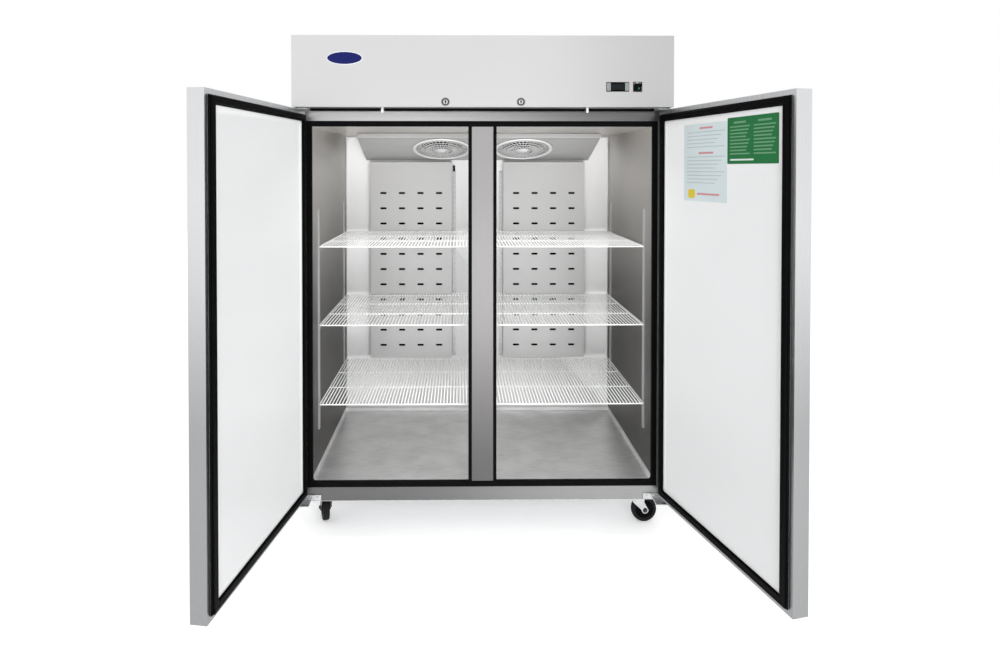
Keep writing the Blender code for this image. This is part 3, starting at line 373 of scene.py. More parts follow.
def screw(bm, place, radius):
    """A pan-head screw with a crossed recess, seated on the place's XY plane."""
    sides, arm, half_arm = 24, radius * 0.62, radius * 0.17

    def cross(height):
        points = []
        for step in range(sides):
            turn = math.tau * step / sides
            fold = (turn + math.pi / 4) % (math.pi / 2) - math.pi / 4
            reach = min(arm / math.cos(fold), half_arm / max(abs(math.sin(fold)), 0.01))
            points.append(Vector((reach * math.cos(turn), reach * math.sin(turn), height)))
        return points

    dome = [(1.0, 0.0), (1.0, 0.22), (0.9, 0.42), (0.7, 0.55)]
    rings = [circle(radius * wide, radius * high, sides) for wide, high in dome]
    rings += [cross(radius * 0.58), cross(radius * 0.2)]
    loft(bm, [[place @ point for point in ring] for ring in rings])


def hexagon(bm, place, radius, height):
    """A bolt head or nut with chamfered corners."""
    profile = [(radius, 0.0), (radius, height * 0.8), (radius * 0.86, height)]
    lathe(bm, profile, place, 6)


def bolt(bm, place, washer, sheet, radius, height, sides=24):
    """A hexagonal head on a washer."""
    lathe(bm, [(washer, 0.0), (washer, sheet), (radius - 0.0008, sheet)], place, sides)
    hexagon(bm, place @ Matrix.Translation((0, 0, sheet)), radius, height)


def piece(name, bm, look, body="cabinet", replaces=(), thickness=0.0, bevel=0.0, sharp=35):
    """Turns a bmesh into a piece that rides on a body, with its finish as its material."""
    bmesh.ops.recalc_face_normals(bm, faces=bm.faces)
    bm.edges.index_update()
    rims = [edge.index for edge in bm.edges if edge.is_boundary]
    mesh = bpy.data.meshes.new(name)
    bm.to_mesh(mesh)
    bm.free()
    mesh.shade_smooth()
    mesh.set_sharp_from_angle(angle=math.radians(sharp))
    for index in rims:
        mesh.edges[index].use_edge_sharp = True
    mesh.materials.append(surface(look))
    made = bpy.data.objects.new(name, mesh)
    bpy.context.scene.collection.objects.link(made)
    if thickness:
        solidify = made.modifiers.new("thickness", "SOLIDIFY")
        solidify.thickness = thickness
        solidify.offset = 0.0
    if bevel:
        round_edges(made, bevel)
    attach(made, body)
    if replaces:
        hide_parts(*replaces)


def round_edges(made, width):
    bevel = made.modifiers.new("edges", "BEVEL")
    bevel.width = width
    bevel.segments = 2
    bevel.limit_method = "ANGLE"
    bevel.angle_limit = math.radians(35)


def finish_node(name, look, edge):
    """Gives a kept CAD node its finish and eases its edges."""
    node = NODES[name]
    node.data.materials.clear()
    node.data.materials.append(surface(look))
    weld = node.modifiers.new("weld", "WELD")
    weld.merge_threshold = 0.00001
    if edge:
        round_edges(node, edge)


# Cabinet


KEPT_NODES = {
    # finish, width of the eased edge
    "outer_shell": ("shell_steel", 0.0004),
    "interior_liner": ("liner_steel", 0.0004),
    "cabinet_foam": ("insulation", 0.0),
    "front_frame": ("bottom_rail_steel", 0.0004),
    "breaker_frame": ("black_plastic", 0.0015),
    "mullion_cover": ("mullion_steel", 0.0012),
    "base_sheet": ("zinc", 0.0006),
    "evaporator_cover": ("cover_enamel", 0.0012),
    "evaporator_coil": ("fin_metal", 0.001),
    "service_panel": ("panel_steel", 0.0005),
    "thermostat": ("black_plastic", 0.0008),
    "rocker_switch": ("black_plastic", 0.0008),
    "thermostat_key_1": ("silver_key", 0.0008),
    "thermostat_key_2": ("silver_key", 0.0008),
    "thermostat_key_3": ("silver_key", 0.0008),
    "thermostat_key_4": ("silver_key", 0.0008),
    "door_left_skin": ("door_steel", 0.0005),
    "door_left_foam": ("insulation", 0.0),
    "door_right_skin": ("door_steel", 0.0005),
    "door_right_foam": ("insulation", 0.0),
    "caster_front_left_pedal": ("black_plastic", 0.0008),
    "caster_front_right_pedal": ("black_plastic", 0.0008),
}
COVE_RADIUS = 0.008
COVE_UPSTAND = 0.020
COVE_STEPS = 5
LINER_SHEET = 0.0016


def build_floor_pan():
    """The inner floor, with coved corners that run up the three walls."""
    low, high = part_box("interior_liner")
    x0, x1, y0, z = low[0] + LINER_SHEET, high[0] - LINER_SHEET, low[1] + LINER_SHEET, low[2] + LINER_SHEET
    levels = [(0.0, COVE_UPSTAND), *arc(COVE_RADIUS, COVE_RADIUS, COVE_RADIUS, 180, 270, COVE_STEPS)]
    bm = bmesh.new()
    rows = []
    for inward, up in levels:
        left, right, y1 = x0 + inward, x1 - inward, high[1] - LINER_SHEET - inward
        corners = ((left, y0), (left, y1), (right, y1), (right, y0))
        rows.append([bm.verts.new((x, y, z + up)) for x, y in corners])
    for one, two in zip(rows, rows[1:]):
        for k in range(3):
            bm.faces.new((one[k], one[k + 1], two[k + 1], two[k]))
    bm.faces.new(rows[-1])
    piece("interior_floor_pan", bm, "floor_steel", thickness=0.0008, sharp=60)


def build_rear_panel():
    """The lighter sheet that covers the inner rear wall, with a hem folded round its edge."""
    low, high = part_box("interior_liner")
    sheet, hem = 0.0008, 0.010
    width, height = high[0] - low[0] - LINER_SHEET * 2, high[2] - low[2] - LINER_SHEET - COVE_UPSTAND
    centre = ((low[0] + high[0]) / 2, low[2] + COVE_UPSTAND + height / 2, 0)
    bm = bmesh.new()
    steps = ((0, 0.00005, 0.001), (0, sheet + 0.0002, 0.001), (-0.0006, sheet + 0.0004, 0.001),
             (-hem * 2, sheet + 0.0004, 0.001), (-hem * 2 - 0.001, sheet, 0.001))
    stepped(bm, facing(high[1] - LINER_SHEET) @ Matrix.Translation(centre), width, height, steps)
    piece("interior_rear_panel", bm, "rear_steel")


def build_top_rail():
    """A trim plate over the top rail, and a black rubber strip in the gap under the service panel as painted
    shadow.
    """
    low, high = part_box("front_frame")
    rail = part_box("breaker_frame")[1][2]
    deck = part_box("machine_guard")[0][2]
    bm = bmesh.new()
    front, back, top, lip = low[1] - 0.0005, low[1] - 0.00005, deck - 0.001, 0.0008
    outline = [(back, rail), (front + 0.0002, rail), (front, rail + lip)]
    outline += [(front, top - lip), (front + 0.0002, top), (back, top)]
    prism(bm, outline, low[0], high[0], crosswise())
    piece("top_rail_trim", bm, "top_rail_steel")
    # Painted shadow: a black rubber tube fills the gap under the service panel where its shadow falls.
    panel_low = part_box("service_panel")[0]
    bm = bmesh.new()
    half = (panel_low[2] - 0.0006 - (deck - 0.004)) / 2
    middle = panel_low[2] - 0.0006 - half
    for x0, x1 in ((-0.652, -0.388), (-0.372, 0.390), (0.406, 0.652)):
        tube(bm, [(x0, low[1] - half, middle), (x1, low[1] - half, middle)], half, 8)
    piece("panel_gap_shade", bm, "gasket_rubber")


def build_rivets():
    """Pop rivets down the rear edges and along the top and bottom of the shell's back."""
    low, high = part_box("outer_shell")
    bm = bmesh.new()
    inset, pitch, radius = 0.014, 0.118, 0.0035
    dome = [(radius, 0), (radius * 0.85, 0.0008), (radius * 0.45, 0.0012), (radius * 0.2, 0.0007)]
    spots = []
    columns = round((high[0] - low[0] - 2 * inset) / pitch)
    rows = round((high[2] - low[2] - 2 * inset) / pitch)
    for step in range(columns + 1):
        x = low[0] + inset + (high[0] - low[0] - 2 * inset) * step / columns
        spots += [(x, low[2] + inset), (x, high[2] - inset)]
    for step in range(1, rows):
        z = low[2] + inset + (high[2] - low[2] - 2 * inset) * step / rows
        spots += [(low[0] + inset, z), (high[0] - inset, z)]
    for x, z in spots:
        lathe(bm, dome, aimed((x, high[1], z), (0, 1, 0)), 12)
    piece("shell_rivets", bm, "zinc")


def build_hangers():
    """Two small hooks on the upper rail that the service panel's lip drops behind."""
    low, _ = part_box("service_panel")
    face_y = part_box("front_frame")[0][1]
    bm = bmesh.new()
    for x in (-0.380, 0.398):
        top = low[2] + 0.004
        hook = ((0, 0), (0.008, 0), (0.0095, 0.003), (0.0095, 0.017), (0.006, 0.020), (0.0035, 0.017),
                (0.0035, 0.006), (0, 0.006))
        outline = [(face_y - out, top - down) for out, down in hook]
        prism(bm, outline, x - 0.004, x + 0.004, crosswise())
    piece("panel_hooks", bm, "white_wire", bevel=0.0006)


# Doors

GASKET_PROFILE = (
    (0.002, 0.0), (0.0, 0.003), (0.001, 0.006), (0.004, 0.0073), (0.0028, 0.0095), (0.0042, 0.0124),
    (0.008, 0.0138), (0.013, 0.0140), (0.0145, 0.0130), (0.016, 0.0140), (0.020, 0.0138), (0.0243, 0.0124),
    (0.0255, 0.0095), (0.0243, 0.0073), (0.027, 0.006), (0.028, 0.003), (0.026, 0.0),
)
GASKET_INSET = 0.008
LINER_STEPS = (
    # inward from the skin's edge, out of the door, corner radius
    (0.0016, -0.0020, 0.002), (0.0016, -0.0003, 0.002), (0.0385, -0.0003, 0.006), (0.0405, 0.0030, 0.008),
    (0.0430, 0.0046, 0.010), (0.0520, 0.0046, 0.014), (0.0550, 0.0030, 0.016), (0.0570, 0.0020, 0.018),
)
HANDLE_POCKET = (0.045, 0.220, 0.026)


def build_door(side):
    place, body = door_place(side), f"door_{side}"
    low, high = local_box(place, f"door_{side}_skin")
    centre, size = (low + high) / 2, high - low

    bm = bmesh.new()
    seal = f"door_{side}_gasket"
    seal_low, seal_high = local_box(place, seal)
    profile = [(inward + GASKET_INSET, seal_low.y + out) for inward, out in GASKET_PROFILE]
    mitred(bm, seal_low, seal_high, profile, place)
    piece(f"door_seal_{side}", bm, "gasket_rubber", body, replaces=[seal], sharp=50)

    bm = bmesh.new()
    steps = [(-inward * 2, -out, radius) for inward, out, radius in LINER_STEPS]
    stepped(bm, place @ facing(high.y) @ Matrix.Translation((centre.x, centre.z, 0)), size.x, size.z, steps)
    liner = f"door_{side}_liner"
    piece(f"door_inner_panel_{side}", bm, "white_sheet", body, replaces=[liner], sharp=50)

    bm = bmesh.new()
    flange = ((0.0002, -0.0004), (0.0004, 0.0006), (0.0160, 0.0006), (0.0164, 0.0001), (0.0164, -0.0004))
    mitred(bm, low, high, [(inward, high.y + out) for inward, out in flange], place)
    piece(f"door_return_{side}", bm, "door_steel", body)

    # The cup that lines the pressed handle pocket, with a flange round its mouth.
    pocket_low, pocket_high = OPENINGS[f"handle_pocket_{side}"]
    middle = place.inverted() @ ((Vector(pocket_low) + Vector(pocket_high)) / 2)
    width, height, depth = HANDLE_POCKET
    steps = (
        (0.010, 0.0003, 0.010), (0.0095, 0.0016, 0.010), (0.002, 0.0022, 0.008), (-0.002, 0.0012, 0.007),
        (-0.003, -0.004, 0.007), (-0.004, 0.006 - depth, 0.007), (-0.010, 0.002 - depth, 0.006),
    )
    bm = bmesh.new()
    stepped(bm, place @ facing(low.y) @ Matrix.Translation((middle.x, middle.z, 0)), width, height, steps)
    bmesh.ops.delete(bm, geom=[max(bm.faces, key=lambda f: f.calc_area())], context="FACES_ONLY")
    piece(f"handle_cup_{side}", bm, "black_plastic", body, thickness=0.0006, sharp=60)


def slab(bm, low, high, back, sheet, radius, place):
    """A flat round-cornered sheet between two (x, z) corners, on a plane across the place's Y axis."""
    centre = ((low[0] + high[0]) / 2, (low[1] + high[1]) / 2, 0)
    outline = rounded(high[0] - low[0], high[1] - low[1], radius, 3)
    prism(bm, outline, -sheet, 0, place @ facing(back) @ Matrix.Translation(centre))


INK = 0.00015


def bars(bm, left, right, top, rows, pitch, tall, front, place, ragged=0.0):
    """Plain printed bars: equal rows, whose far ends step in and out by a share of their length."""
    for row in range(rows):
        short = (right - left) * ragged * ((row * 5) % 4) / 3
        z = top - pitch * row
        slab(bm, (left + short, z - tall), (right, z), front, INK, tall / 4, place)


def build_cards():
    """Two instruction cards on the right door's inner panel, with plain bars for their print."""
    side = "right"
    place, body = door_place(side), f"door_{side}"
    _, high = local_box(place, f"door_{side}_skin")
    seat = high.y + LINER_STEPS[-1][1]
    sheet = 0.0004
    face = seat + sheet
    corners = {
        "card_pale": ((-0.3945, 1.287), (-0.154, 1.549)),
        "card_green": ((-0.627, 1.4115), (-0.3955, 1.5562)),
    }
    for name, (low, corner) in corners.items():
        bm = bmesh.new()
        slab(bm, low, corner, seat, sheet, 0.004, place)
        piece(name, bm, name, body)

    bm = bmesh.new()
    for left, right, top in ((-0.318, -0.245, 1.5370), (-0.322, -0.240, 1.4530), (-0.355, -0.232, 1.3150)):
        bars(bm, left, right, top, 1, 0.0, 0.0065, face, place)
    piece("card_headings", bm, "card_red", body)
    bm = bmesh.new()
    for top, rows in ((1.5215, 5), (1.4380, 8)):
        bars(bm, -0.382, -0.172, top, rows, 0.0125, 0.0022, face, place, 0.25)
    piece("card_lines", bm, "card_grey", body)
    bm = bmesh.new()
    bars(bm, -0.220, -0.180, 1.3260, 1, 0.0, 0.030, face, place)
    piece("card_patch", bm, "card_amber", body)
    bm = bmesh.new()
    for left, right in ((-0.615, -0.520), (-0.502, -0.408)):
        bars(bm, left + 0.018, right - 0.018, 1.5430, 1, 0.0, 0.0060, face, place)
        bars(bm, left, right, 1.5290, 9, 0.0105, 0.0042, face, place, 0.18)
    piece("card_green_lines", bm, "card_mint", body)
    bm = bmesh.new()
    bars(bm, -0.520, -0.410, 1.4270, 1, 0.0, 0.0050, face, place)
    piece("card_green_foot", bm, "card_white", body)


BRACKET_SHEET = 0.003
BRACKET_RISE = 0.022
BRACKET_WING = 0.038


def build_hinge_brackets():
    """Bent zinc angles with their pins, washers and screws."""
    for side, sign in SIDES.items():
        axis_x, axis_y, _ = JOINTS[f"door_{side}_swing"]["pos_m"]
        for end in ("lower", "upper"):
            node = f"hinge_bracket_{end}_{side}"
            low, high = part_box(node)
            arm = low[2] if end == "lower" else high[2] - BRACKET_RISE
            tip = high[2] if end == "lower" else low[2]
            sheet, bend = BRACKET_SHEET, BRACKET_SHEET * 1.6
            outer = arc(high[1] - bend, arm + bend, bend, -90, 0, 6)
            inner = arc(high[1] - bend, arm + bend, bend - sheet, 0, -90, 6)
            outline = [(low[1], arm), *outer, (high[1], arm + BRACKET_RISE)]
            outline += [(high[1] - sheet, arm + BRACKET_RISE), *inner, (low[1], arm + sheet)]
            bm = bmesh.new()
            prism(bm, outline, low[0], high[0], crosswise())
            inner_edge = min(abs(low[0]), abs(high[0]))
            wing = BRACKET_WING if end == "lower" else 0.0
            if wing:
                x0, x1 = sorted((sign * (inner_edge - wing), sign * inner_edge))
                block(bm, (x0, high[1] - sheet, arm + 0.001), (x1, high[1], arm + BRACKET_RISE))
            piece(f"hinge_angle_{end}_{side}", bm, "zinc", replaces=[node], bevel=0.0006)

            bm = bmesh.new()
            toward = 1 if end == "lower" else -1
            seat = arm + sheet if end == "lower" else arm
            length = (tip - seat) * toward
            pin = aimed((axis_x, axis_y, seat), (0, 0, toward))
            gap = max(length - 0.0235, 0.001)
            collar = [(0.0088, 0), (0.0088, gap - 0.0008), (0.008, gap)]
            lathe(bm, [*collar, (0.005, gap), (0.005, length - 0.001), (0.004, length)], pin)
            under = aimed((axis_x, axis_y, seat - sheet * toward), (0, 0, -toward))
            bolt(bm, under, 0.0085, 0.0008, 0.0068, 0.0026)
            piece(f"hinge_pin_{end}_{side}", bm, "black_enamel")

            bm = bmesh.new()
            for reach in (-0.036, -0.006, wing * 0.65)[: 3 if wing else 2]:
                x = sign * (inner_edge - reach)
                screw(bm, aimed((x, high[1] - sheet, arm + 0.0135), (0, -1, 0)), 0.0042)
            piece(f"hinge_screws_{end}_{side}", bm, "zinc")


# Interior

SLOT_SIZE = (0.032, 0.010)
SLOT_COLUMN_PITCH = 0.090
SLOT_ROW_PITCH = 0.074
SLOT_TOP_MARGIN = 0.150
SLOT_BOTTOM_MARGIN = 0.030
SLOT_COLUMNS = 4


def build_air_duct(side):
    """A punched sheet over the air duct, with a black tray behind its slots as painted shade inside the duct."""
    node = f"air_duct_{side}"
    low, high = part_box(node)
    centre = (low[0] + high[0]) / 2
    first = centre - SLOT_COLUMN_PITCH * SLOT_COLUMNS / 2
    us = [low[0]] + [first + SLOT_COLUMN_PITCH * step for step in range(SLOT_COLUMNS + 1)] + [high[0]]
    rows = int((high[2] - low[2] - SLOT_TOP_MARGIN - SLOT_BOTTOM_MARGIN) / SLOT_ROW_PITCH) + 1
    top = high[2] - SLOT_TOP_MARGIN + SLOT_ROW_PITCH / 2
    vs = [low[2]] + [top - SLOT_ROW_PITCH * step for step in range(rows, -1, -1)] + [high[2]]
    holes = {(i, j): SLOT_SIZE for i in range(1, SLOT_COLUMNS + 1) for j in range(1, rows + 1)}
    bm = bmesh.new()
    punched(bm, us, vs, holes, facing(low[1] + 0.0006))
    piece(f"duct_face_{side}", bm, "duct_steel", replaces=[node], thickness=0.0010)

    bm = bmesh.new()
    walls(bm, (low[0], low[1] + 0.001, low[2]), high, 0.001)
    piece(f"duct_sides_{side}", bm, "duct_steel")
    # Painted shade: a black plastic tray behind the slots stands in for the shade inside the duct.
    bm = bmesh.new()
    centre = ((us[1] + us[-2]) / 2, (vs[1] + vs[-2]) / 2, 0)
    tray = ((0, -0.002, 0.004), (0, 0.004, 0.004), (-0.002, 0.004, 0.003), (-0.002, 0, 0.003))
    stepped(bm, facing(low[1] + 0.010) @ Matrix.Translation(centre), us[-2] - us[1], vs[-2] - vs[1], tray)
    piece(f"duct_slot_shade_{side}", bm, "black_plastic")


STRIP_SLOT = (0.010, 0.003)
STRIP_PITCH = 0.025


def slotted_strip(bm, place, width, depth, length):
    """A channel with a row of slots: X along it, Z out of the wall."""
    count = int(length / STRIP_PITCH)
    margin = (length - count * STRIP_PITCH) / 2
    us = [0.0] + [margin + STRIP_PITCH * step for step in range(count + 1)] + [length]
    holes = {(i, 0): STRIP_SLOT for i in range(1, count + 1)}
    punched(bm, us, [-width / 2, width / 2], holes, place @ Matrix.Translation((0, 0, depth - 0.0006)))


def build_pilasters():
    """Slotted shelf standards on the side walls, and two more on the rear wall beside the middle."""
    for side, sign in SIDES.items():
        for where in ("front", "rear"):
            node = f"pilaster_{side}_{where}"
            low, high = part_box(node)
            wall = low[0] if side == "left" else high[0]
            middle = (wall, (low[1] + high[1]) / 2, low[2])
            width, depth = high[1] - low[1], high[0] - low[0]
            place = aimed(middle, (-sign, 0, 0), (0, 0, 1))
            bm = bmesh.new()
            slotted_strip(bm, place, width, depth, high[2] - low[2])
            name = f"shelf_standard_{side}_{where}"
            piece(name, bm, "strip_zinc", replaces=[node], thickness=0.0010)
            bm = bmesh.new()
            for edge in (-width / 2, width / 2 - 0.0012):
                block(bm, (0, edge, 0.0002), (high[2] - low[2], edge + 0.0012, depth - 0.0012), place)
            piece(f"{name}_flanges", bm, "strip_zinc")
        low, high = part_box(f"pilaster_{side}_rear")
        duct_low, duct_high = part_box(f"air_duct_{side}")
        inner = duct_high[0] if side == "left" else duct_low[0]
        rear = duct_high[1]
        strip_low = duct_low[2]
        length = duct_high[2] - 0.045 - strip_low
        place = aimed((inner - sign * 0.0105, rear, strip_low), (0, -1, 0), (0, 0, 1))
        bm = bmesh.new()
        slotted_strip(bm, place, 0.016, 0.0062, length)
        for edge in (-0.008, 0.0068):
            block(bm, (0, edge, 0.0002), (length, edge + 0.0012, 0.005), place)
        piece(f"shelf_standard_{side}_centre", bm, "strip_zinc", thickness=0.0008)
    duct_low, duct_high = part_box("air_duct_left")
    x, z = duct_high[0] + 0.0105, duct_high[2] - 0.045
    bm = bmesh.new()
    back, tall = duct_high[1], 0.028
    half = ((0, 0), (0.0102, 0), (0.0102, 0.004), (0.0085, 0.0065))
    outline = [(back - out, z + up) for out, up in half]
    outline += [(back - out, z + tall - up) for out, up in reversed(half)]
    prism(bm, outline, x - 0.005, x + 0.005, crosswise())
    piece("strip_end_clip", bm, "black_plastic", bevel=0.0006)


def build_clips(side):
    """The clips that each shelf rests on: a tab with a leg down the standard and a lip at its tip."""
    sign = SIDES[side]
    half, sheet, reach = 0.005, 0.0018, 0.018
    bm = bmesh.new()
    for number in (1, 2, 3):
        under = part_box(f"shelf_{side}_{number}")[0][2] - 0.0026
        for where in ("front", "rear"):
            strip_low, strip_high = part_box(f"pilaster_{side}_{where}")
            y = (strip_low[1] + strip_high[1]) / 2
            face = strip_high[0] if side == "left" else strip_low[0]
            place = aimed((face, y, under), (0, 0, 1), (-sign, 0, 0))
            block(bm, (0, -half, -sheet), (reach, half, 0), place)
            block(bm, (0, -half, -0.020), (sheet, half, 0), place)
            block(bm, (reach - sheet, -half, 0), (reach, half, 0.0030), place)
    piece(f"shelf_clips_{side}", bm, "zinc", bevel=0.0004)


WIRE_PITCH = 0.0129
WIRE_RADIUS = 0.0024
RIM_RADIUS = 0.0026
CROSS_RODS = 2


def build_shelf(side, number):
    """A coated wire shelf: close bars over a rim and two cross rods, turned down at the front and rear."""
    node = f"shelf_{side}_{number}"
    low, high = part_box(node)
    top = high[2] - WIRE_RADIUS
    rim_z = top - RIM_RADIUS - WIRE_RADIUS * 0.6
    x0, x1, y0, y1 = low[0] + RIM_RADIUS, high[0] - RIM_RADIUS, low[1] + RIM_RADIUS, high[1] - RIM_RADIUS
    bm = bmesh.new()
    centre = Vector(((x0 + x1) / 2, (y0 + y1) / 2, rim_z))
    outline = rounded(x1 - x0, y1 - y0, 0.008)
    tube(bm, [centre + Vector((x, y, 0)) for x, y in outline], RIM_RADIUS, 8, closed=True)
    for step in range(1, CROSS_RODS + 1):
        y = y0 + (y1 - y0) * step / (CROSS_RODS + 1)
        rod(bm, (x0, y, rim_z), (x1, y, rim_z), RIM_RADIUS, 8)
    count = round((x1 - x0) / WIRE_PITCH)
    front, rear = low[1] + WIRE_RADIUS * 0.6, high[1] - WIRE_RADIUS * 0.6
    for step in range(1, count):
        x = x0 + (x1 - x0) * step / count
        bend = ((0.0, rim_z), (0.0, top - 0.0035), (0.0014, top - 0.0006), (0.004, top))
        path = [(x, front + inward, z) for inward, z in bend]
        path += [(x, rear - inward, z) for inward, z in reversed(bend)]
        tube(bm, path, WIRE_RADIUS, 6)
    piece(f"wire_shelf_{side}_{number}", bm, "white_wire", node, replaces=[node], sharp=60)


# Evaporator

GRILLE_RINGS = 5
GRILLE_SPOKES = 36
GRILLE_DOME = 0.006


def build_fan_grille(side):
    """A domed wire guard inside a flat rim."""
    node = f"fan_grille_{side}"
    place = joint_place(f"evaporator_fan_{side}_spin", (1, 0, 0))
    low, high = local_box(place, node)
    radius, level = (high.x - low.x) / 2, (low.z + high.z) / 2
    flat = radius - 0.014

    def dome(at):
        return level - GRILLE_DOME * (1 - (at / flat) ** 2)

    bm = bmesh.new()
    rim = [(flat - 0.002, 0.0005), (flat, -0.002), (radius - 0.002, -0.002), (radius, 0.0), (radius, 0.002)]
    rim += [(flat + 0.002, 0.002)]
    lathe(bm, [(at, level + up) for at, up in rim], place, 48, wrap=True)
    hub = flat * 0.16
    for step in range(GRILLE_RINGS):
        at = hub + (flat - hub) * (step + 0.5) / GRILLE_RINGS
        ring = [place @ point for point in circle(at, dome(at), 40)]
        tube(bm, ring, 0.0011, 6, closed=True)
    for spoke in range(GRILLE_SPOKES):
        turn = math.tau * (spoke + 0.5) / GRILLE_SPOKES
        start = flat * 0.45 if spoke % 2 else hub * 0.6
        reach = [start + (flat - start) * step / 6 for step in range(7)]
        path = [Vector((at * math.cos(turn), at * math.sin(turn), dome(at) + 0.0022)) for at in reach]
        tube(bm, [place @ point for point in path], 0.0013, 6)
    middle = dome(0)
    lathe(bm, [(hub * 0.2, middle + 0.003), (hub, middle + 0.003), (hub, middle), (hub * 0.5, middle - 0.002),
               (hub * 0.1, middle - 0.0022)], place)
    piece(f"fan_guard_{side}", bm, "guard_wire", replaces=[node], sharp=60)


BLADE_ROWS = 6
BLADES = 5


def build_fan(node):
    """A moulded fan: swept, twisted blades round a domed hub."""
    place = joint_place(f"{node}_spin", (1, 0, 0))
    low, high = local_box(place, node)
    radius = max(high.x, high.y, -low.x, -low.y) * 0.985
    half = (high.z - low.z) / 2
    hub = radius * 0.28
    bm = bmesh.new()
    for blade in range(BLADES):
        rows = []
        for row in range(BLADE_ROWS + 1):
            share = row / BLADE_ROWS
            at = hub * 0.9 + (radius - hub * 0.9) * share
            chord = math.radians(24 + 8 * math.sin(math.pi * share))
            sweep = math.radians(14) * share ** 2
            line = []
            for step in range(BLADE_ROWS + 1):
                across = step / BLADE_ROWS * 2 - 1
                turn = math.tau * blade / BLADES + sweep + chord * across
                lift = half * 0.85 * across + half * 0.12 * (1 - across ** 2)
                round_tip = at - radius * 0.05 * share * across ** 2
                point = Vector((round_tip * math.cos(turn), round_tip * math.sin(turn), lift))
                line.append(bm.verts.new(place @ point))
            rows.append(line)
        for one, two in zip(rows, rows[1:]):
            for k in range(BLADE_ROWS):
                bm.faces.new((one[k], one[k + 1], two[k + 1], two[k]))
    piece(f"{node}_blades", bm, "black_plastic", node, replaces=[node], thickness=0.0016, sharp=60)
    bm = bmesh.new()
    profile = ((0.9, -1.0), (1.0, -0.8), (1.0, 0.7), (0.85, 0.95), (0.3, 1.0))
    lathe(bm, [(hub * wide, half * tall) for wide, tall in profile], place)
    piece(f"{node}_hub", bm, "black_plastic", node)


# Machine compartment

BADGE_PLACE = (0.1966, 0.180)
BADGE_SIZE = (0.133, 0.050)


def build_badge():
    """A plain oval plate on the service panel."""
    low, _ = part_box("service_panel")
    centre = Vector((low[0] + BADGE_PLACE[0], low[1], low[2] + BADGE_PLACE[1]))
    place = aimed(centre, (0, -1, 0), (1, 0, 0))

    def ovals(bm, steps):
        rings = []
        for grow, height in steps:
            half_x, half_y = BADGE_SIZE[0] / 2 + grow, BADGE_SIZE[1] / 2 + grow
            ring = circle(1.0, height, 40)
            rings.append([place @ Vector((x * half_x, y * half_y, z)) for x, y, z in ring])
        loft(bm, rings)

    bm = bmesh.new()
    ovals(bm, ((0, 0), (0, 0.0012), (-0.0006, 0.0018), (-0.0022, 0.0018), (-0.0026, 0.0013)))
    piece("badge_rim", bm, "badge_rim", "service_panel")
    bm = bmesh.new()
    ovals(bm, ((-0.0027, 0.0010), (-0.0029, 0.0017), (-0.007, 0.0021), (-0.014, 0.0024), (-0.020, 0.0025)))
    piece("badge_face", bm, "badge_blue", "service_panel", sharp=60)


def build_locks():
    """Key locks: a chrome ring, a plug with its key slot, and the cam behind."""
    for side, sign in SIDES.items():
        node, body = f"lock_{side}", f"lock_{side}"
        low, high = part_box(node)
        axis = Vector(JOINTS[f"lock_{side}_turn"]["pos_m"])
        place = aimed(axis, (0, -1, 0), (1, 0, 0))
        depth = high[1] - axis.y
        radius = high[2] - axis.z
        barrel = 0.0098
        bm = bmesh.new()
        ring = ((1.0, 0.0004), (1.0, 0.0016), (0.92, 0.0031), (0.84, 0.0034), (0.78, 0.0026), (0.76, 0.0010),
                (0.3, 0.0010))
        ring = [(radius * wide, height) for wide, height in ring]
        lathe(bm, [(barrel, -depth), (barrel, 0.0004), *ring], place, 32)
        x0, x1 = sorted((axis.x, high[0] if sign > 0 else low[0]))
        block(bm, (x0, high[1] - 0.003, axis.z - 0.007), (x1, high[1], axis.z + 0.007))
        piece(f"{node}_body", bm, "chrome", body, replaces=[node], bevel=0.0003)
        bm = bmesh.new()
        plug = radius * 0.56
        lathe(bm, [(plug, 0.0014), (plug, 0.0024), (plug * 0.9, 0.0028), (plug * 0.3, 0.0030)], place)
        piece(f"{node}_plug", bm, "zinc", body)
        bm = bmesh.new()
        block(bm, (-plug * 0.20, -plug * 0.80, 0.0024), (plug * 0.20, plug * 0.80, 0.0032), place)
        lathe(bm, [(plug * 0.34, 0.0024), (plug * 0.34, 0.0033), (plug * 0.2, 0.0034)], place, 16)
        collar = [(0.57, 0.0018), (0.75, 0.0018), (0.75, 0.0011), (0.57, 0.0011)]
        lathe(bm, [(radius * wide, height) for wide, height in collar], place, 32, wrap=True)
        piece(f"{node}_slot", bm, "black_plastic", body)


DISPLAY_SIZE = (0.0452, 0.0222)
ROCKER_RIM = (0.034, 0.037)


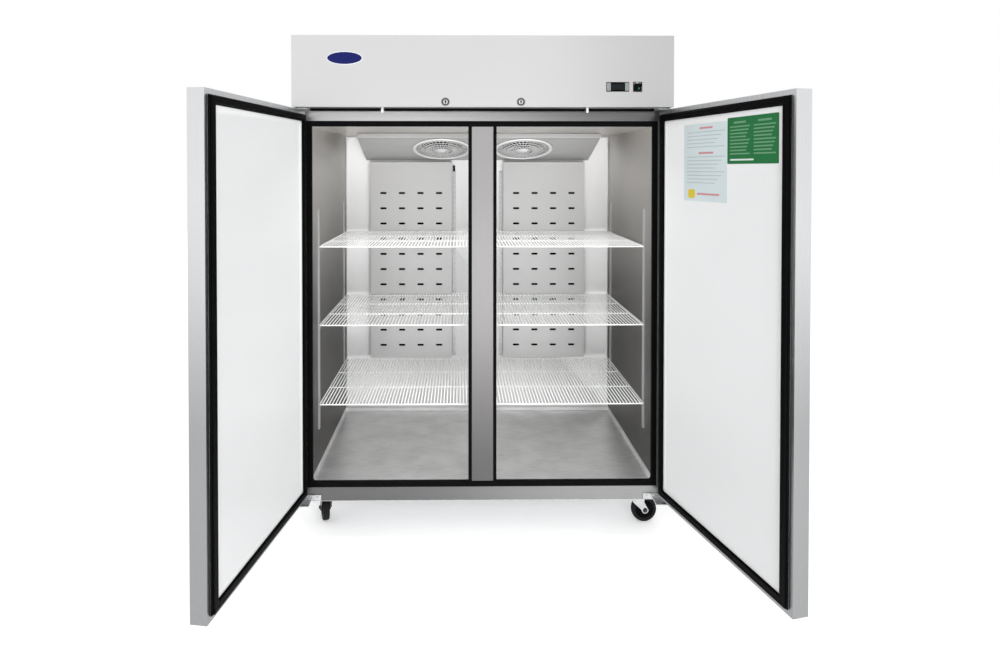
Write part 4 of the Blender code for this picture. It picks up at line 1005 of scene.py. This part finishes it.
def build_controls():
    """The thermostat's display and bezel edge, and the power switch's rim and mark."""
    low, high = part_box("thermostat")
    centre = Vector(((low[0] + high[0]) / 2, low[1] + 0.001, (low[2] + high[2]) / 2))
    place = aimed(centre, (0, -1, 0), (1, 0, 0))
    bm = bmesh.new()
    stepped(bm, place, *DISPLAY_SIZE, ((0, 0.0001, 0.002), (0, 0.0006, 0.002), (-0.0012, 0.0011, 0.002)))
    piece("thermostat_display", bm, "dark_glass", "service_panel")

    bm = bmesh.new()
    for x in (-0.0340, 0.0340):
        prism(bm, rounded(0.0150, 0.0300, 0.0020), 0.0008, 0.0015, place @ Matrix.Translation((x, 0, 0)))
    piece("thermostat_key_pads", bm, "silver_key", "service_panel", bevel=0.0002)

    pivot = Vector(JOINTS["rocker_tip"]["pos_m"])
    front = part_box("service_panel")[0][1]
    centre = Vector((pivot.x, front, pivot.z))
    half_x, half_z = ROCKER_RIM[0] / 2, ROCKER_RIM[1] / 2
    rim_low, rim_high = centre - Vector((half_x, 0, half_z)), centre + Vector((half_x, 0, half_z))
    profile = ((0.0, 0.0002), (0.0, 0.0012), (0.0006, 0.0019), (0.0021, 0.0019), (0.0024, 0.0014),
               (0.0024, 0.0002))
    bm = bmesh.new()
    mitred(bm, rim_low, rim_high, [(inward, front - out) for inward, out in profile])
    piece("rocker_rim", bm, "black_plastic", "service_panel")
    low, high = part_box("rocker_switch")
    mark = Vector((pivot.x + 0.003, low[1] + 0.0003, pivot.z - 0.0065))
    bm = bmesh.new()
    tilt = aimed(mark, (0, -1, 0.14), (1, 0, 0))
    prism(bm, rounded(0.0035, 0.0085, 0.0014), -0.0012, 0.0004, tilt)
    piece("rocker_mark", bm, "green_lens", "rocker", bevel=0.0003)


GUARD_SLOT = (0.064, 0.006)
GUARD_PITCH = (0.084, 0.015)
GUARD_MARGIN = 0.030
INLET_CENTRE = (0.560, 0.066)
INLET_SIZE = (0.050, 0.032)
INLET_DEPTH = 0.022


def vent_lines(start, end, pitch, margin):
    """Lines of a grid centred between two ends, and the numbers of its cells."""
    count = int((end - start - margin * 2) / pitch)
    first = (start + end - count * pitch) / 2
    return [start] + [first + pitch * step for step in range(count + 1)] + [end], range(1, count + 1)


def build_guard():
    """Louvred sheet round the machine compartment, with the lead's inlet at the rear."""
    low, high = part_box("machine_guard")
    z0, z1 = low[2], high[2]
    vs, rows = vent_lines(z0, z1, GUARD_PITCH[1], GUARD_MARGIN)
    bm = bmesh.new()
    for x in (low[0] + 0.0006, high[0] - 0.0006):
        us, columns = vent_lines(low[1], high[1], GUARD_PITCH[0], GUARD_MARGIN)
        holes = {(i, j): GUARD_SLOT for i in columns for j in rows}
        punched(bm, us, vs, holes, crosswise(x))
    us, columns = vent_lines(low[0], high[0], GUARD_PITCH[0], GUARD_MARGIN)
    holes = {(i, j): GUARD_SLOT for i in columns[:-2] for j in rows}
    punched(bm, us, vs, holes, facing(high[1] - 0.0006))
    piece("machine_louvres", bm, "shell_steel", replaces=["machine_guard"], thickness=0.0010)

    centre = Vector((INLET_CENTRE[0], high[1], z0 + INLET_CENTRE[1]))
    place = aimed(centre, (0, 1, 0), (1, 0, 0))
    bm = bmesh.new()
    steps = ((0.010, 0.0), (0.010, 0.0015), (0.007, 0.0025), (0.0, 0.0025), (-0.002, 0.001),
             (-0.003, -INLET_DEPTH * 0.8), (-0.008, -INLET_DEPTH * 0.85))
    stepped(bm, place, *INLET_SIZE, [(grow, level, 0.006) for grow, level in steps])
    for x, y in ((-0.012, -0.003), (0.012, -0.003), (0.0, 0.006)):
        block(bm, (x - 0.001, y - 0.0035, -INLET_DEPTH * 0.84), (x + 0.001, y + 0.0035, -0.004), place)
    piece("power_inlet", bm, "black_plastic", bevel=0.0003)


def build_compressor():
    """A welded hermetic can on its feet, with its terminal box and pipes."""
    low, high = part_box("compressor")
    x, y, deck = (low[0] + high[0]) / 2, (low[1] + high[1]) / 2, low[2]
    height = high[2] - deck
    radius = 0.085
    place = Matrix.Translation((x, y, deck))
    profile = (
        (0.55, 0.06), (0.86, 0.07), (0.96, 0.12), (1.0, 0.20), (1.0, 0.46), (1.035, 0.47), (1.035, 0.50),
        (1.0, 0.51), (0.99, 0.70), (0.94, 0.83), (0.80, 0.93), (0.55, 0.985), (0.20, 1.0),
    )
    bm = bmesh.new()
    lathe(bm, [(radius * wide, height * tall) for wide, tall in profile], place, 40)
    prism(bm, rounded(high[0] - low[0], high[1] - low[1], 0.02), 0.003, 0.007, place)
    box = Matrix.Translation((x + radius * 0.93, y, deck + height * 0.34))
    prism(bm, rounded(0.058, 0.070, 0.008), 0.0, 0.030, box @ Matrix.Rotation(math.radians(90), 4, "Y"))
    piece("compressor_can", bm, "black_enamel", replaces=["compressor"], bevel=0.0006)
    bm = bmesh.new()
    for sx in (-1, 1):
        for sy in (-1, 1):
            foot = Matrix.Translation((x + sx * 0.084, y + sy * 0.076, deck))
            grommet = [(0.009, 0.0), (0.010, 0.002), (0.008, 0.0035), (0.010, 0.009), (0.006, 0.012)]
            lathe(bm, grommet, foot, 16)
            hexagon(bm, foot @ Matrix.Translation((0, 0, 0.0115)), 0.006, 0.004)
    piece("compressor_feet", bm, "tyre_rubber")

    bm = bmesh.new()
    coil_low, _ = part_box("condenser_coil")
    end = Vector((coil_low[0] - 0.004, coil_low[1] + 0.02, deck + 0.17))
    start = Vector((x + radius * 0.5, y - radius * 0.7, deck + height * 0.78))
    lift = start + Vector((0, 0, 0.05))
    pipe(bm, [start, lift, lift + Vector((0.05, -0.10, 0.0)), end + Vector((-0.06, 0.0, 0.04)), end], 0.004)
    start = Vector((x - radius * 0.4, y + radius * 0.75, deck + height * 0.72))
    steps = ((0, 0, 0), (0, 0, 0.04), (0.02, 0.09, 0.03), (0.05, 0.12, -0.06))
    knots = [start + Vector(step) for step in steps]
    pipe(bm, [*knots, Vector((start.x + 0.06, start.y + 0.125, deck + 0.001))], 0.006)
    stub = ((-0.03, 0.85, 0.10), (-0.035, 1.25, 0.10), (-0.04, 1.3, 0.15), (-0.04, 1.3, 0.19))
    pipe(bm, [(x + across, y - radius * out, deck + up) for across, out, up in stub], 0.004, 6)
    piece("refrigerant_pipes", bm, "copper", sharp=60)


def pipe(bm, knots, radius, steps=8):
    """A pipe on a Catmull-Rom curve through knots."""
    knots = [Vector(knot) for knot in knots]
    points = []
    for number in range(len(knots) - 1):
        a = knots[max(number - 1, 0)]
        b, c = knots[number], knots[number + 1]
        d = knots[min(number + 2, len(knots) - 1)]
        for step in range(steps):
            t = step / steps
            bend = (2 * a - 5 * b + 4 * c - d) * t * t + (3 * b - a - 3 * c + d) * t ** 3
            points.append(b + ((c - a) * t + bend) / 2)
    tube(bm, [*points, knots[-1]], radius, 10)


def build_condenser():
    """Finned block with copper return bends, a shroud round the fan and its motor."""
    low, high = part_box("condenser_coil")
    axis = Vector(JOINTS["condenser_fan_spin"]["pos_m"])
    fan_low, fan_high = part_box("condenser_fan")
    opening = (fan_high[2] - fan_low[2]) / 2 + 0.004
    depth = 0.070
    back = low[1] + depth
    bm = bmesh.new()
    margin, pitch = 0.012, 0.0058
    count = int((high[0] - low[0] - margin * 2) / pitch)
    for step in range(count + 1):
        x = low[0] + margin + pitch * step
        block(bm, (x, low[1] + 0.002, low[2] + 0.004), (x + 0.0009, back - 0.002, high[2] - 0.004))
    piece("condenser_fins", bm, "fin_metal", replaces=["condenser_coil"])

    bm = bmesh.new()
    rows = 7
    pitch_z = (high[2] - low[2]) / rows
    for column in (0.28, 0.72):
        y = low[1] + depth * column
        for row in range(rows):
            z = low[2] + pitch_z * (row + 0.5)
            rod(bm, (low[0] - 0.002, y, z), (high[0] + 0.002, y, z), 0.0045, 10)
        for row in range(rows - 1):
            end_x, out = (high[0] + 0.002, 1) if row % 2 else (low[0] - 0.002, -1)
            z = low[2] + pitch_z * (row + 1)
            turns = [math.pi * step / 8 for step in range(9)]
            bend = [(end_x + out * 0.012 * math.sin(t), y, z - pitch_z / 2 * math.cos(t)) for t in turns]
            tube(bm, bend, 0.0045, 10)
    piece("condenser_tubes", bm, "copper", sharp=60)

    bm = bmesh.new()
    sheet = 0.0012
    walls(bm, low, high, sheet)
    piece("condenser_frame", bm, "zinc")
    bm = bmesh.new()
    face = facing(high[1] - sheet)
    rings = [[face @ Vector((*point, 0)) for point in divided((low[0], low[2]), (high[0], high[2]), 8)]]
    for radius, level in ((opening + 0.006, 0.0), (opening, 0.0), (opening, 0.012)):
        rim = arc(axis.x, axis.z, radius, -135, 225, 32)[:-1]
        rings.append([face @ Vector((*point, level)) for point in rim])
    loft(bm, rings, ends=False)
    piece("condenser_shroud", bm, "black_enamel", thickness=0.0010)

    bm = bmesh.new()
    motor = aimed(Vector((axis.x, high[1] + 0.010, axis.z)), (0, 1, 0), (1, 0, 0))
    can = [(0.012, 0.0), (0.030, 0.001), (0.034, 0.006), (0.034, 0.045), (0.030, 0.052), (0.010, 0.054)]
    lathe(bm, can, motor, 28)
    for arm in range(3):
        turn = math.radians(90 + 120 * arm)
        reach = opening + 0.012
        tip = Vector((math.cos(turn) * reach, math.sin(turn) * reach, 0.0))
        inner = Vector((math.cos(turn) * 0.028, math.sin(turn) * 0.028, 0.012))
        tube(bm, [motor @ inner, motor @ (inner.lerp(tip, 0.8) + Vector((0, 0, 0.003))), motor @ tip,
                  motor @ (tip + Vector((0, 0, -0.010)))], 0.0028, 8)
    piece("condenser_motor", bm, "black_enamel")


# Casters

WHEEL_WIDTH = 0.030


def caster_place(where):
    """Axes on a caster's kingpin at floor level: X is its trail and Y its axle."""
    x, y, _ = JOINTS[f"caster_{where}_swivel"]["pos_m"]
    axle = Vector(JOINTS[f"wheel_{where}_roll"]["axis"])
    trail = axle.cross(Vector((0, 0, 1)))
    return aimed((x, y, 0), (0, 0, 1), trail)


def build_caster(where):
    place, body = caster_place(where), f"caster_{where}"
    fork, wheel = f"caster_{where}_fork", f"caster_{where}_wheel"
    low, high = local_box(place, fork)
    axle = place.inverted() @ Vector(JOINTS[f"wheel_{where}_roll"]["pos_m"])
    wheel_low, wheel_high = local_box(place, wheel)
    radius, width = (wheel_high.z - wheel_low.z) / 2, WHEEL_WIDTH / 2
    # Painted shade: the forks of all casters but the front right are black enamel instead of zinc, dark as they
    # look in shade.
    shaded_black = where != "front_right"

    bm = bmesh.new()
    crown = wheel_high.z + 0.004
    cheek, sheet, foot = width + 0.005, 0.003, 0.0135
    reach = -low.x
    outline = [(reach, crown), (reach * 0.75, crown + sheet), (-reach * 0.75, crown + sheet), (-reach, crown)]
    outline += [(-reach, crown - 0.008), (-reach * 0.8, crown - 0.020)]
    outline += arc(axle.x, axle.z, foot, 180, 360, 10)
    outline += [(reach * 0.96, crown - 0.022), (reach, crown - 0.010)]
    for inner, outer in ((cheek - sheet, cheek), (-cheek, -cheek + sheet)):
        prism(bm, outline, inner, outer, place @ facing(0))
    prism(bm, rounded(reach * 2, cheek * 2 - sheet, 0.008), crown, crown + sheet, place)
    race = high.z - crown - sheet
    steps = ((0.018, 0.0), (0.026, 0.0), (0.026, 0.25), (0.02184, 0.42), (0.02184, 0.58), (0.02522, 0.70),
             (0.02522, 0.97), (0.0078, 0.99))
    rings = [(wide, crown + sheet + race * tall) for wide, tall in steps]
    lathe(bm, rings, place, 32)
    look = "black_enamel" if shaded_black else "zinc"
    piece(f"{fork}_plates", bm, look, body, replaces=[fork], bevel=0.0005)

    bm = bmesh.new()
    for sign in (-1, 1):
        head = place @ aimed(Vector((axle.x, sign * cheek, axle.z)), (0, sign, 0))
        bolt(bm, head, 0.0095, 0.001, 0.0068, 0.0042, 20)
    rod(bm, place @ Vector((axle.x, -cheek, axle.z)), place @ Vector((axle.x, cheek, axle.z)), 0.0042, 16)
    piece(f"caster_{where}_axle", bm, "black_enamel", body, bevel=0.0002)

    hub_place = place @ aimed(axle, (0, 1, 0))
    tyre = ((0.70, 0.62), (0.74, 0.80), (0.80, 0.90), (0.90, 0.86), (0.965, 0.70), (0.99, 0.42), (1.0, 0.0))
    profile = [(radius * wide, width * tall) for wide, tall in tyre]
    profile += [(at, -up) for at, up in reversed(profile[:-1])]
    bm = bmesh.new()
    lathe(bm, profile, hub_place, 48, wrap=True)
    piece(f"caster_{where}_tyre", bm, "tyre_rubber", f"wheel_{where}", replaces=[wheel], sharp=50)
    hub = ((0.11, 0.96), (0.30, 0.96), (0.34, 0.80), (0.40, 0.42), (0.64, 0.40), (0.70, 0.56))
    profile = [(radius * wide, width * tall) for wide, tall in hub]
    profile += [(at, -up) for at, up in reversed(profile)]
    bm = bmesh.new()
    lathe(bm, profile, hub_place, 32, wrap=True)
    for rib in range(6):
        turned = hub_place @ Matrix.Rotation(math.tau * rib / 6, 4, "Z")
        block(bm, (radius * 0.33, -0.0016, -width * 0.62), (radius * 0.68, 0.0016, width * 0.62), turned)
    piece(f"caster_{where}_hub", bm, "black_plastic", f"wheel_{where}")


def build_plate_bolts():
    """Four hex bolts through each caster plate."""
    bm = bmesh.new()
    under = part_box("base_sheet")[0][2]
    for where in CASTERS:
        x, y, _ = JOINTS[f"caster_{where}_swivel"]["pos_m"]
        for dx in (-0.035, 0.035):
            for dy in (-0.040, 0.040):
                bolt(bm, aimed((x + dx, y + dy, under), (0, 0, -1)), 0.008, 0.001, 0.0058, 0.0035, 16)
    piece("caster_plate_bolts", bm, "zinc")


# Studio


def make_camera():
    """In front of the cabinet and a little to its left; the shift keeps its upright lines nearly upright."""
    data = bpy.data.cameras.new("camera")
    data.sensor_width = 36.0
    data.lens = 23.63
    data.shift_x = 0.0332
    data.shift_y = -0.1457
    camera = bpy.data.objects.new("camera", data)
    bpy.context.scene.collection.objects.link(camera)
    camera.location = (-0.088, -2.895, 1.394)
    camera.rotation_euler = (math.radians(90 - 0.848), 0, math.radians(-0.6385))
    bpy.context.scene.camera = camera


def soft_light(name, place, target, size, power):
    data = bpy.data.lights.new(name, "AREA")
    data.shape = "RECTANGLE"
    data.size, data.size_y = size
    data.energy = power
    light = bpy.data.objects.new(name, data)
    bpy.context.scene.collection.objects.link(light)
    light.location = place
    light.rotation_euler = (Vector(target) - Vector(place)).to_track_quat("-Z", "Y").to_euler()
    light.visible_camera = False
    light.visible_glossy = False


def make_studio():
    world = bpy.data.worlds.new("world")
    bpy.context.scene.world = world
    world.use_nodes = True
    world.node_tree.nodes["Background"].inputs["Color"].default_value = (1, 1, 1, 1)
    world.node_tree.nodes["Background"].inputs["Strength"].default_value = 1.0
    bpy.context.scene.view_settings.view_transform = "Standard"
    soft_light("front_light", (0.9, -4.4, 1.5), (0, 0, 1.0), (3.0, 2.4), 130)
    soft_light("cabinet_light", (0, -0.28, 1.535), (0, 0.2, 0.2), (1.15, 0.10), 4)
    soft_light("low_shelf_light", (0, -0.31, 0.755), (0, 0.1, 0.40), (1.15, 0.06), 1.6)

    bm = bmesh.new()
    bmesh.ops.create_grid(bm, x_segments=1, y_segments=1, size=12)
    mesh = bpy.data.meshes.new("floor")
    bm.to_mesh(mesh)
    bm.free()
    floor = bpy.data.objects.new("floor", mesh)
    bpy.context.scene.collection.objects.link(floor)
    look = surface("studio_floor")
    shader = look.node_tree.nodes["Principled BSDF"]
    shader.inputs["Emission Color"].default_value = (1, 1, 1, 1)
    shader.inputs["Emission Strength"].default_value = 0.18
    mesh.materials.append(look)


make_camera()
make_studio()
for node, (look, edge) in KEPT_NODES.items():
    finish_node(node, look, edge)
build_floor_pan()
build_rear_panel()
build_top_rail()
build_rivets()
build_hangers()
build_hinge_brackets()
for side in SIDES:
    build_door(side)
    build_air_duct(side)
    build_clips(side)
    for number in (1, 2, 3):
        build_shelf(side, number)
    build_fan_grille(side)
    build_fan(f"evaporator_fan_{side}")
build_cards()
build_pilasters()
build_badge()
build_locks()
build_controls()
build_guard()
build_compressor()
build_condenser()
build_fan("condenser_fan")
for where in CASTERS:
    build_caster(where)
build_plate_bolts()
